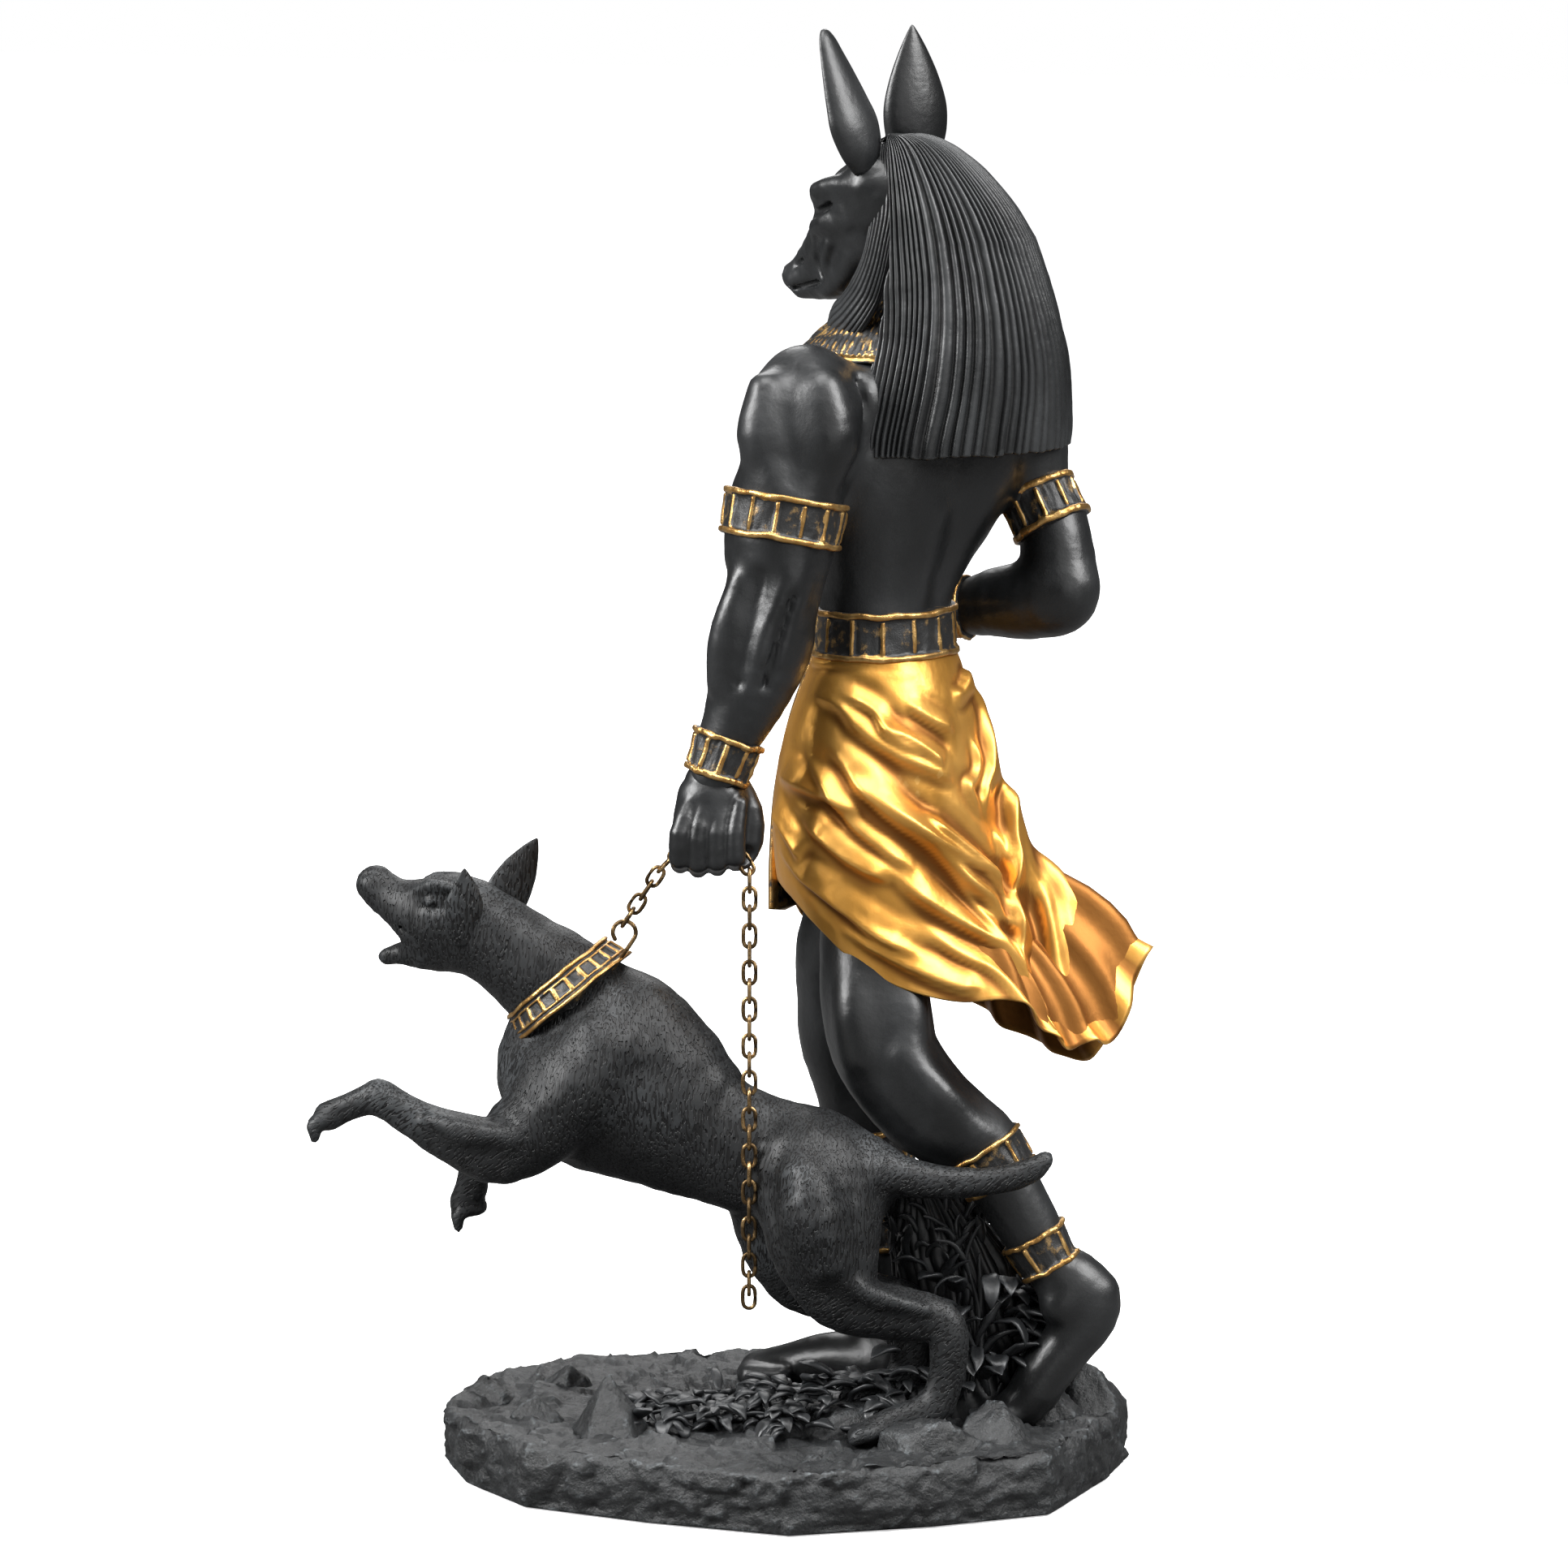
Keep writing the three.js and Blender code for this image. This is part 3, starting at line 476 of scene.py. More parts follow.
    def roughen(self, height: float, scale: float, seed: int, below: float = 2.0) -> Clay:
        """Hand-worked unevenness: layered noise added to the distances near the skin."""
        near = np.argwhere(np.abs(self.distance) < below)
        places = self.origin + near * self.pitch
        self.distance[tuple(near.T)] += (height * fbm(places, scale, 3, seed)).astype(np.float32)
        return self

    def skin(self, rounds: int = 2) -> Shell:
        """Skin by surface nets.

        Every grid cell that the skin passes through gets one point, the mean of the places where
        the skin crosses the cell's edges, and every grid edge that is crossed gets one face
        between the four cells round it.
        """
        inside = self.distance < 0
        nx, ny, nz = self.shape
        count = np.zeros((nx - 1, ny - 1, nz - 1), np.int8)
        for dx, dy, dz in CORNERS:
            count += inside[dx : nx - 1 + dx, dy : ny - 1 + dy, dz : nz - 1 + dz]
        cells = np.argwhere((count > 0) & (count < 8))
        corner = [self.distance[tuple((cells + np.array(c)).T)].astype(float) for c in CORNERS]
        total = np.zeros((len(cells), 3))
        crossings = np.zeros(len(cells))
        for i, j in EDGES:
            crossed = (corner[i] < 0) != (corner[j] < 0)
            gap = np.where(crossed, corner[i] - corner[j], 1.0)
            t = np.where(crossed, corner[i] / gap, 0.0)[:, None]
            place = np.array(CORNERS[i]) * (1 - t) + np.array(CORNERS[j]) * t
            total += place * crossed[:, None]
            crossings += crossed
        points = self.origin + (cells + total / crossings[:, None]) * self.pitch
        number = np.full(count.shape, -1, np.int64)
        number[tuple(cells.T)] = np.arange(len(cells))
        quads = []
        for axis in range(3):
            one, two = (axis + 1) % 3, (axis + 2) % 3
            start = [slice(1, -1)] * 3
            start[axis] = slice(0, -1)
            stop = [slice(1, -1)] * 3
            stop[axis] = slice(1, None)
            a, b = inside[tuple(start)], inside[tuple(stop)]
            edge = np.argwhere(a != b)
            leaving = a[tuple(edge.T)]
            edge = edge + np.array([0 if k == axis else 1 for k in range(3)])
            step_one, step_two = np.eye(3, dtype=int)[one], np.eye(3, dtype=int)[two]
            ring = [edge - step_one - step_two, edge - step_two, edge, edge - step_one]
            face = np.stack([number[tuple(r.T)] for r in ring], -1)
            quads.append(np.where(leaving[:, None], face, face[:, ::-1]))
        return Shell(points, np.vstack(quads)).outward().relaxed(rounds)


CORNERS = [(x, y, z) for x in (0, 1) for y in (0, 1) for z in (0, 1)]
EDGES = [(0, 1), (2, 3), (4, 5), (6, 7), (0, 2), (1, 3), (4, 6), (5, 7), (0, 4), (1, 5), (2, 6), (3, 7)]


def rgba(red: float, green: float, blue: float) -> tuple[float, float, float, float]:
    """Opaque colour."""
    return (red, green, blue, 1.0)


# Near black laid on as painted shade in hollows and in the engraved fur cuts.
SHADE_BLACK = rgba(0.002, 0.002, 0.0022)


class Slot(Enum):
    """The record's material slots."""

    SATIN = "satin_black"
    FUR = "fur_black"
    ROCK = "rock_black"
    GOLD = "gold_paint"
    BRASS = "aged_brass"


class Nodes:
    """Small helper that adds and links shader nodes in one tree."""

    def __init__(self, tree: bpy.types.NodeTree) -> None:
        """Keeps the tree that new nodes go into."""
        self.tree = tree

    def add(
        self, kind: str, inputs: dict[str | int, object] | None = None, **settings: object,
    ) -> bpy.types.Node:
        """Adds a node.

        Args:
            kind: The node's type name.
            inputs: Socket name or number to a value, or to the output socket to link from.
            settings: Properties to set on the node.

        Returns:
            The new node.
        """
        node = self.tree.nodes.new(kind)
        for name, value in settings.items():
            setattr(node, name, value)
        for key, value in (inputs or {}).items():
            if isinstance(value, bpy.types.NodeSocket):
                self.feed(node, key, value)
            else:
                node.inputs[key].default_value = value
        return node

    def feed(self, node: bpy.types.Node, key: str | int, source: bpy.types.NodeSocket) -> None:
        """Links an output socket to a node's input."""
        self.tree.links.new(source, node.inputs[key])

    def math(self, operation: str, a: object, b: object) -> bpy.types.NodeSocket:
        """Result of a Math node on two sockets or numbers."""
        return self.add("ShaderNodeMath", {0: a, 1: b}, operation=operation).outputs[0]

    def times(self, a: object, b: object) -> bpy.types.NodeSocket:
        """Product of two sockets or numbers."""
        return self.math("MULTIPLY", a, b)

    def plus(self, a: object, b: object) -> bpy.types.NodeSocket:
        """Sum of two sockets or numbers."""
        return self.math("ADD", a, b)

    def minus(self, a: object, b: object) -> bpy.types.NodeSocket:
        """First socket or number less the second."""
        return self.math("SUBTRACT", a, b)

    def ramp(self, value: bpy.types.NodeSocket, low: float, high: float) -> bpy.types.NodeSocket:
        """Value eased from 0 at `low` to 1 at `high`."""
        node = self.add("ShaderNodeMapRange", {0: value, 1: low, 2: high}, interpolation_type="SMOOTHSTEP")
        return node.outputs[0]

    def mix(self, share: object, a: object, b: object) -> bpy.types.NodeSocket:
        """Colour between `a` and `b`."""
        return self.add("ShaderNodeMix", {0: share, 6: a, 7: b}, data_type="RGBA").outputs[2]

    def tint(self, tone: object, share: object, amount: float, colour: object) -> bpy.types.NodeSocket:
        """Tone with a colour laid over it as far as a mask times an amount says."""
        return self.mix(self.times(share, amount), tone, colour)

    def place(self) -> bpy.types.NodeSocket:
        """Each point's place on the piece, in metres."""
        return self.add("ShaderNodeTexCoord").outputs["Object"]

    def mask(self, name: str) -> bpy.types.NodeSocket:
        """A mask painted on the mesh."""
        return self.add("ShaderNodeAttribute", attribute_name=name).outputs["Fac"]


def new_group(
    name: str, inputs: dict[str, float], outputs: tuple[str, ...]
) -> tuple[Nodes, bpy.types.Node, bpy.types.Node]:
    """Empty shader node group with number sockets.

    Args:
        name: The group's name.
        inputs: Socket name to value.
        outputs: Socket names.

    Returns:
        The group's node helper, and its input and output nodes.
    """
    tree = bpy.data.node_groups.new(name, "ShaderNodeTree")
    for label, value in inputs.items():
        socket = tree.interface.new_socket(label, in_out="INPUT", socket_type="NodeSocketFloat")
        socket.default_value = value
    for label in outputs:
        tree.interface.new_socket(label, in_out="OUTPUT", socket_type="NodeSocketFloat")
    kit = Nodes(tree)
    return kit, kit.add("NodeGroupInput"), kit.add("NodeGroupOutput")


class SharedEffects:
    """Node groups that several finishes use, each built once."""

    _built: dict[str, bpy.types.NodeTree] = {}

    @classmethod
    def get(cls, name: str) -> bpy.types.NodeTree:
        """The named group, built the first time that it is asked for."""
        if name not in cls._built:
            cls._built[name] = getattr(cls, "_" + name)()
        return cls._built[name]

    @staticmethod
    def _ridge_wear_light_and_hollow_shade() -> bpy.types.NodeTree:
        """Ridges lightened by rubbing and a painted highlight, hollows darkened as painted shade, from how
        sharply the surface curves, broken by noise.
        """
        kit, given, out = new_group(
            "ridge_wear_light_and_hollow_shade", {"Ridge": 0.53, "Hollow": 0.46, "Scale": 400.0}, ("Ridge_wear_and_highlight", "Hollow_shade")
        )
        point = kit.add("ShaderNodeNewGeometry").outputs["Pointiness"]
        place = kit.place()
        grain = kit.add(
            "ShaderNodeTexNoise", {"Vector": place, "Scale": given.outputs["Scale"], "Detail": 4.0},
        )
        broken = kit.times(kit.minus(grain.outputs[0], 0.5), 0.06)
        uneven = kit.plus(point, broken)
        top = kit.plus(given.outputs["Ridge"], 0.05)
        worn_and_highlit = kit.add("ShaderNodeMapRange", {0: uneven, 1: given.outputs["Ridge"], 2: top})
        low = kit.minus(given.outputs["Hollow"], 0.06)
        hollow_shaded = kit.add("ShaderNodeMapRange", {0: uneven, 1: given.outputs["Hollow"], 2: low})
        kit.feed(out, "Ridge_wear_and_highlight", worn_and_highlit.outputs[0])
        kit.feed(out, "Hollow_shade", hollow_shaded.outputs[0])
        return kit.tree

    @staticmethod
    def _brushing() -> bpy.types.NodeTree:
        """Streaks and pores of hand painting: two noises, one drawn out, as a mask and a height."""
        kit, given, out = new_group("brushing", {"Scale": 120.0, "Stretch": 0.3}, ("Mask", "Height"))
        place = kit.place()
        size = kit.add("ShaderNodeCombineXYZ", {0: 1.0, 1: 1.0, 2: given.outputs["Stretch"]})
        drawn = kit.add("ShaderNodeVectorMath", {0: place, 1: size.outputs[0]}, operation="MULTIPLY")
        broad = kit.add(
            "ShaderNodeTexNoise",
            {"Vector": drawn.outputs[0], "Scale": given.outputs["Scale"], "Detail": 5.0},
        )
        fine_scale = kit.times(given.outputs["Scale"], 9.0)
        fine = kit.add("ShaderNodeTexNoise", {"Vector": place, "Scale": fine_scale, "Detail": 3.0})
        total = kit.plus(broad.outputs[0], kit.times(fine.outputs[0], 0.3))
        kit.feed(out, "Mask", kit.ramp(broad.outputs[0], 0.35, 0.68))
        kit.feed(out, "Height", total)
        return kit.tree


@dataclass(frozen=True)
class Finish:
    """What every painted finish has.

    Attributes:
        name: The material's name.
        slot: The record's slot that it belongs to.
        base: Main colour.
        light: Colour of dry-brushed places and of ridges, where it stands for rubbing and a painted
            highlight.
        roughness: Shine of the main surface; higher is duller.
        bump: Height of the fine relief, in metres.
    """

    name: str
    slot: Slot
    base: tuple[float, float, float, float]
    light: tuple[float, float, float, float]
    roughness: float
    bump: float

    def start(self) -> tuple[bpy.types.Material, Nodes, bpy.types.Node]:
        """New material with its Principled shader."""
        material = bpy.data.materials.new(self.name)
        material.use_nodes = True
        kit = Nodes(material.node_tree)
        return material, kit, material.node_tree.nodes["Principled BSDF"]

    def effect(self, kit: Nodes, name: str, **inputs: float) -> dict[str, bpy.types.NodeSocket]:
        """Outputs, by name, of a shared effect placed in this material with its own values."""
        node = kit.add("ShaderNodeGroup")
        node.node_tree = SharedEffects.get(name)
        for key, value in inputs.items():
            node.inputs[key].default_value = value
        return {socket.name: socket for socket in node.outputs}

    def relief(
        self, kit: Nodes, shader: bpy.types.Node, height: bpy.types.NodeSocket, strength: float = 1.0,
    ) -> None:
        """Links a height to the shader's normal."""
        bump = kit.add("ShaderNodeBump", {"Height": height, "Distance": self.bump, "Strength": strength})
        kit.feed(shader, "Normal", bump.outputs[0])

    def material(self) -> bpy.types.Material:
        """The finish as a node material."""
        raise NotImplementedError


@dataclass(frozen=True)
class SatinPaint(Finish):
    """Charcoal paint with a soft shine, grey on the ridges by rubbing and a painted highlight, with painted
    shade in hollows.
    """

    wear_and_painted_light: float = 0.55
    ridge: float = 0.53
    groove_shade: float = 0.0

    def material(self) -> bpy.types.Material:
        """Base colour lightens with brushing, and on ridges and wig crests by rubbing and a painted
        highlight; hollows, and flute grooves where set, get painted shade.
        """
        material, kit, shader = self.start()
        wear_and_painted_light = self.effect(kit, "ridge_wear_light_and_hollow_shade", Ridge=self.ridge, Hollow=0.47, Scale=500.0)
        brushed = self.effect(kit, "brushing", Scale=70.0, Stretch=0.35)
        lit = kit.tint(self.base, brushed["Mask"], 0.3, self.light)
        # Wig crests lightened by rubbing and a painted highlight.
        crest_rub_and_highlight = kit.times(kit.ramp(kit.mask("crest"), 0.55, 1.0), brushed["Mask"])
        lit = kit.tint(lit, crest_rub_and_highlight, 0.6, self.light)
        # Ridges lightened by rubbing and a painted highlight; hollows darkened as painted shade.
        lit = kit.tint(lit, wear_and_painted_light["Ridge_wear_and_highlight"], self.wear_and_painted_light, self.light)
        dark = kit.tint(lit, wear_and_painted_light["Hollow_shade"], 0.75, SHADE_BLACK)
        # Flute grooves darkened to near black as painted shade.
        if self.groove_shade:
            gap = kit.minus(1.0, kit.ramp(kit.mask("crest"), 0.1, 0.6))
            dark = kit.tint(dark, gap, self.groove_shade, rgba(0.0008, 0.0008, 0.001))
        kit.feed(shader, "Base Color", dark)
        rough = kit.times(brushed["Mask"], 0.1)
        kit.feed(shader, "Roughness", kit.plus(rough, self.roughness))
        self.relief(kit, shader, brushed["Height"])
        return material


@dataclass(frozen=True)
class FurPaint(Finish):
    """Matte black paint over short engraved hair, dry-brushed on the high parts, with painted shade in the
    cuts and rubbing with a painted highlight on sharp ridges.
    """

    stroke_length: float = 0.0012
    stroke_width: float = 0.00028
    wander: float = 0.004

    def strokes(self, kit: Nodes, tilt: tuple[float, float, float], seed: float) -> bpy.types.NodeSocket:
        """Hair lying along the third axis after a turn by `tilt`; 0 in the cuts, 1 on the hair."""
        place = kit.place()
        wander = kit.add("ShaderNodeTexNoise", {"Vector": place, "Scale": 60.0, "Detail": 1.0})
        drift = (self.wander, self.wander, self.wander)
        shift = kit.add("ShaderNodeVectorMath", {0: wander.outputs["Color"], 1: drift}, operation="MULTIPLY")
        moved = kit.add("ShaderNodeVectorMath", {0: place, 1: shift.outputs[0]}, operation="ADD")
        turned = kit.add(
            "ShaderNodeMapping", {"Vector": moved.outputs[0], "Rotation": tilt, "Location": (seed, 0, 0)},
        )
        size = (1 / self.stroke_width, 1 / self.stroke_width, 1 / self.stroke_length)
        drawn = kit.add("ShaderNodeVectorMath", {0: turned.outputs[0], 1: size}, operation="MULTIPLY")
        hair = kit.add("ShaderNodeTexNoise", {"Vector": drawn.outputs[0], "Scale": 0.6, "Detail": 0.6})
        return kit.ramp(hair.outputs[0], 0.42, 0.49)

    def material(self) -> bpy.types.Material:
        """Two lies of hair, upright on the body and along the limbs, mixed by the mask `along`."""
        material, kit, shader = self.start()
        down = self.strokes(kit, (0.0, 0.16, 0.0), 0.0)
        slant = self.strokes(kit, (0.9, 0.0, 0.0), 0.3)
        along = kit.mask("along")
        hair = kit.plus(kit.times(down, kit.minus(1.0, along)), kit.times(slant, along))
        wear_and_painted_light = self.effect(kit, "ridge_wear_light_and_hollow_shade", Ridge=0.515, Hollow=0.46, Scale=300.0)
        brushed = self.effect(kit, "brushing", Scale=55.0, Stretch=1.0)
        high = kit.times(kit.ramp(brushed["Height"], 0.64, 0.9), hair)
        # The engraved cuts get near-black painted shade.
        tone = kit.mix(kit.times(hair, 0.85), SHADE_BLACK, self.base)
        tone = kit.tint(tone, high, 0.6, self.light)
        # Sharp ridges lightened by rubbing and a painted highlight.
        tone = kit.tint(tone, wear_and_painted_light["Ridge_wear_and_highlight"], 0.35, self.light)
        kit.feed(shader, "Base Color", tone)
        shader.inputs["Specular IOR Level"].default_value = 0.32
        shader.inputs["Roughness"].default_value = self.roughness
        self.relief(kit, shader, hair, 0.9)
        return material


@dataclass(frozen=True)
class RockPaint(Finish):
    """Flat charcoal over chipped stone, with pale chips on sharp edges that are chipping and a painted
    highlight, and painted shade in hollows.
    """

    def material(self) -> bpy.types.Material:
        """Noise and cracks for relief; chips lighten where the surface is sharp."""
        material, kit, shader = self.start()
        place = kit.place()
        wear_and_painted_light = self.effect(kit, "ridge_wear_light_and_hollow_shade", Ridge=0.525, Hollow=0.46, Scale=700.0)
        brushed = self.effect(kit, "brushing", Scale=110.0, Stretch=1.0)
        cells = kit.add("ShaderNodeTexVoronoi", {"Vector": place, "Scale": 420.0}, distance="CHEBYCHEV")
        grit = kit.add(
            "ShaderNodeTexNoise", {"Vector": place, "Scale": 900.0, "Detail": 6.0, "Roughness": 0.65},
        )
        height = kit.plus(kit.times(grit.outputs[0], 0.7), kit.times(cells.outputs[0], 0.3))
        height = kit.plus(height, brushed["Height"])
        tone = kit.tint(self.base, brushed["Mask"], 0.5, self.light)
        # Pale chips on sharp edges: chipping, and a painted highlight there.
        chips = kit.times(wear_and_painted_light["Ridge_wear_and_highlight"], kit.ramp(grit.outputs[0], 0.42, 0.62))
        tone = kit.mix(chips, tone, rgba(0.085, 0.095, 0.1))
        # Hollows darkened as painted shade.
        tone = kit.tint(tone, wear_and_painted_light["Hollow_shade"], 0.8, rgba(0.004, 0.004, 0.004))
        kit.feed(shader, "Base Color", tone)
        rough = kit.plus(kit.times(grit.outputs[0], 0.25), self.roughness - 0.12)
        kit.feed(shader, "Roughness", rough)
        self.relief(kit, shader, height)
        return material


@dataclass(frozen=True)
class GoldPaint(Finish):
    """Metallic gold paint: lighter on crests by rubbing and a painted highlight, with brown painted shade in
    the valleys that the mask `valley` marks.
    """

    def material(self) -> bpy.types.Material:
        """Colour from brushing, rubbing with a painted highlight on ridges, and painted shade in valleys and
        hollows; a fine hammered unevenness breaks the reflections.
        """
        material, kit, shader = self.start()
        brushed = self.effect(kit, "brushing", Scale=90.0, Stretch=0.5)
        wear_and_painted_light = self.effect(kit, "ridge_wear_light_and_hollow_shade", Ridge=0.53, Hollow=0.47, Scale=300.0)
        valley = kit.mask("valley")
        tone = kit.tint(self.base, brushed["Mask"], 0.25, self.light)
        tone = kit.tint(tone, wear_and_painted_light["Ridge_wear_and_highlight"], 0.5, self.light)
        # Brown painted shade in the fold valleys, and darker painted shade in sharp hollows.
        tone = kit.tint(tone, valley, 0.95, rgba(0.2, 0.075, 0.014))
        tone = kit.tint(tone, wear_and_painted_light["Hollow_shade"], 0.6, rgba(0.07, 0.03, 0.008))
        kit.feed(shader, "Base Color", tone)
        shader.inputs["Metallic"].default_value = 0.82
        rough = kit.plus(kit.times(brushed["Mask"], 0.1), self.roughness)
        rough = kit.plus(rough, kit.times(valley, 0.12))
        kit.feed(shader, "Roughness", rough)
        self.relief(kit, shader, brushed["Height"], 0.7)
        return material


@dataclass(frozen=True)
class BandPaint(Finish):
    """Black panels dry-brushed with gold inside gold rims, told apart by the mask `gilt`."""

    def material(self) -> bpy.types.Material:
        """Gold where the mask and the brush marks meet, black elsewhere; hollows in the gold get painted
        shade.
        """
        material, kit, shader = self.start()
        brushed = self.effect(kit, "brushing", Scale=420.0, Stretch=1.0)
        wear_and_painted_light = self.effect(kit, "ridge_wear_light_and_hollow_shade", Ridge=0.53, Hollow=0.47, Scale=900.0)
        gilt = kit.mask("gilt")
        broken = kit.plus(gilt, kit.times(kit.minus(brushed["Height"], 0.62), 1.6))
        share = kit.ramp(broken, 0.38, 0.62)
        haze = kit.times(kit.ramp(brushed["Height"], 0.7, 0.92), 0.42)
        share = kit.math("MAXIMUM", share, haze)
        tone = kit.mix(brushed["Mask"], rgba(0.36, 0.19, 0.055), self.light)
        # Hollows in the gold darkened as painted shade.
        tone = kit.tint(tone, wear_and_painted_light["Hollow_shade"], 0.8, rgba(0.05, 0.025, 0.01))
        tone = kit.mix(share, self.base, tone)
        kit.feed(shader, "Base Color", tone)
        kit.feed(shader, "Metallic", kit.times(share, 0.9))
        rough = kit.minus(self.roughness, kit.times(share, 0.12))
        kit.feed(shader, "Roughness", rough)
        self.relief(kit, shader, brushed["Height"])
        return material


@dataclass(frozen=True)
class AgedBrass(Finish):
    """Antiqued brass plate: bronze-gold where rubbing has cleaned the outside, black in notches, and darker
    in hollows by patina and painted shade.
    """

    def material(self) -> bpy.types.Material:
        """Dark patina in noise-edged patches and notches, metal elsewhere."""
        material, kit, shader = self.start()
        brushed = self.effect(kit, "brushing", Scale=500.0, Stretch=1.0)
        wear_and_painted_light = self.effect(kit, "ridge_wear_light_and_hollow_shade", Ridge=0.52, Hollow=0.48, Scale=1500.0)
        patina = kit.ramp(brushed["Height"], 0.78, 0.62)
        tone = kit.tint(self.light, patina, 0.85, self.base)
        tone = kit.mix(kit.mask("notch"), tone, rgba(0.012, 0.008, 0.006))
        # Hollows darkened by patina and painted shade.
        tone = kit.tint(tone, wear_and_painted_light["Hollow_shade"], 0.7, rgba(0.02, 0.012, 0.008))
        kit.feed(shader, "Base Color", tone)
        shader.inputs["Metallic"].default_value = 1.0
        rough = kit.plus(kit.times(patina, 0.18), self.roughness)
        kit.feed(shader, "Roughness", rough)
        self.relief(kit, shader, brushed["Height"])
        return material


@dataclass
class Bench:
    """Turns skins into finished pieces and keeps one material per finish."""

    made: dict[str, bpy.types.Material] = field(default_factory=dict)
    triangles: int = 0

    def piece(self, name: str, shell: Shell, finish: Finish, body: str = "root") -> bpy.types.Object:
        """Makes a piece: turns the skin to the part's frame, in metres, and dresses it.

        Args:
            name: The piece's name.
            shell: Its skin and masks.
            finish: Its finish.
            body: The body that it rides on.

        Returns:
            The new object, at the origin.
        """
        c, s = math.cos(STRIDE_TURN), math.sin(STRIDE_TURN)
        turn = np.array([[c, s, 0], [-s, c, 0], [0, 0, 1]])
        points = (shell.points @ turn) * MILLIMETRE
        mesh = bpy.data.meshes.new(name)
        mesh.vertices.add(len(points))
        mesh.vertices.foreach_set("co", points.astype(np.float32).ravel())
        corners = np.concatenate([shell.quads.ravel(), shell.triangles.ravel()]).astype(np.int32)
        sizes = np.concatenate([np.full(len(shell.quads), 4), np.full(len(shell.triangles), 3)])
        mesh.loops.add(len(corners))
        mesh.loops.foreach_set("vertex_index", corners)
        mesh.polygons.add(len(sizes))
        mesh.polygons.foreach_set("loop_start", np.concatenate([[0], np.cumsum(sizes)[:-1]]).astype(np.int32))
        mesh.polygons.foreach_set("use_smooth", np.ones(len(sizes), bool))
        mesh.update(calc_edges=True)
        mesh.validate()
        for key, values in shell.masks.items():
            attribute = mesh.attributes.new(key, "FLOAT", "POINT")
            attribute.data.foreach_set("value", values.astype(np.float32))
        if finish.name not in self.made:
            self.made[finish.name] = finish.material()
        mesh.materials.append(self.made[finish.name])
        thing = bpy.data.objects.new(name, mesh)
        bpy.context.scene.collection.objects.link(thing)
        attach(thing, body)
        count = 2 * len(shell.quads) + len(shell.triangles)
        self.triangles += count
        LOG.info("%s: %d triangles", name, count)
        return thing


INK = rgba(0.004, 0.0043, 0.0046)
SKIN = SatinPaint("satin_skin", Slot.SATIN, INK, rgba(0.03, 0.032, 0.034), 0.34, 0.00025, 0.4)
HAIR = SatinPaint("satin_hair", Slot.SATIN, INK, rgba(0.03, 0.032, 0.0335), 0.35, 0.0003, 0.5, 0.52, 0.9)
FUR = FurPaint("engraved_fur", Slot.FUR, rgba(0.011, 0.0118, 0.0125), rgba(0.05, 0.054, 0.057), 0.5, 0.00075)
STONE = RockPaint(
    "chipped_stone", Slot.ROCK, rgba(0.006, 0.0066, 0.007), rgba(0.019, 0.0205, 0.0215), 0.48, 0.0006,
)
LEAF = SatinPaint(
    "dark_leaf", Slot.ROCK, rgba(0.005, 0.0055, 0.006), rgba(0.028, 0.03, 0.032), 0.38, 0.0003, 0.6, 0.525,
)
GOLD = GoldPaint("kilt_gold", Slot.GOLD, rgba(0.68, 0.325, 0.06), rgba(0.95, 0.58, 0.17), 0.32, 0.0002)
TRIM = BandPaint("gilt_trim", Slot.GOLD, rgba(0.008, 0.008, 0.008), rgba(0.56, 0.35, 0.13), 0.45, 0.0002)
BRASS = AgedBrass(
    "antique_brass", Slot.BRASS, rgba(0.035, 0.022, 0.012), rgba(0.4, 0.26, 0.12), 0.32, 0.00012,
)


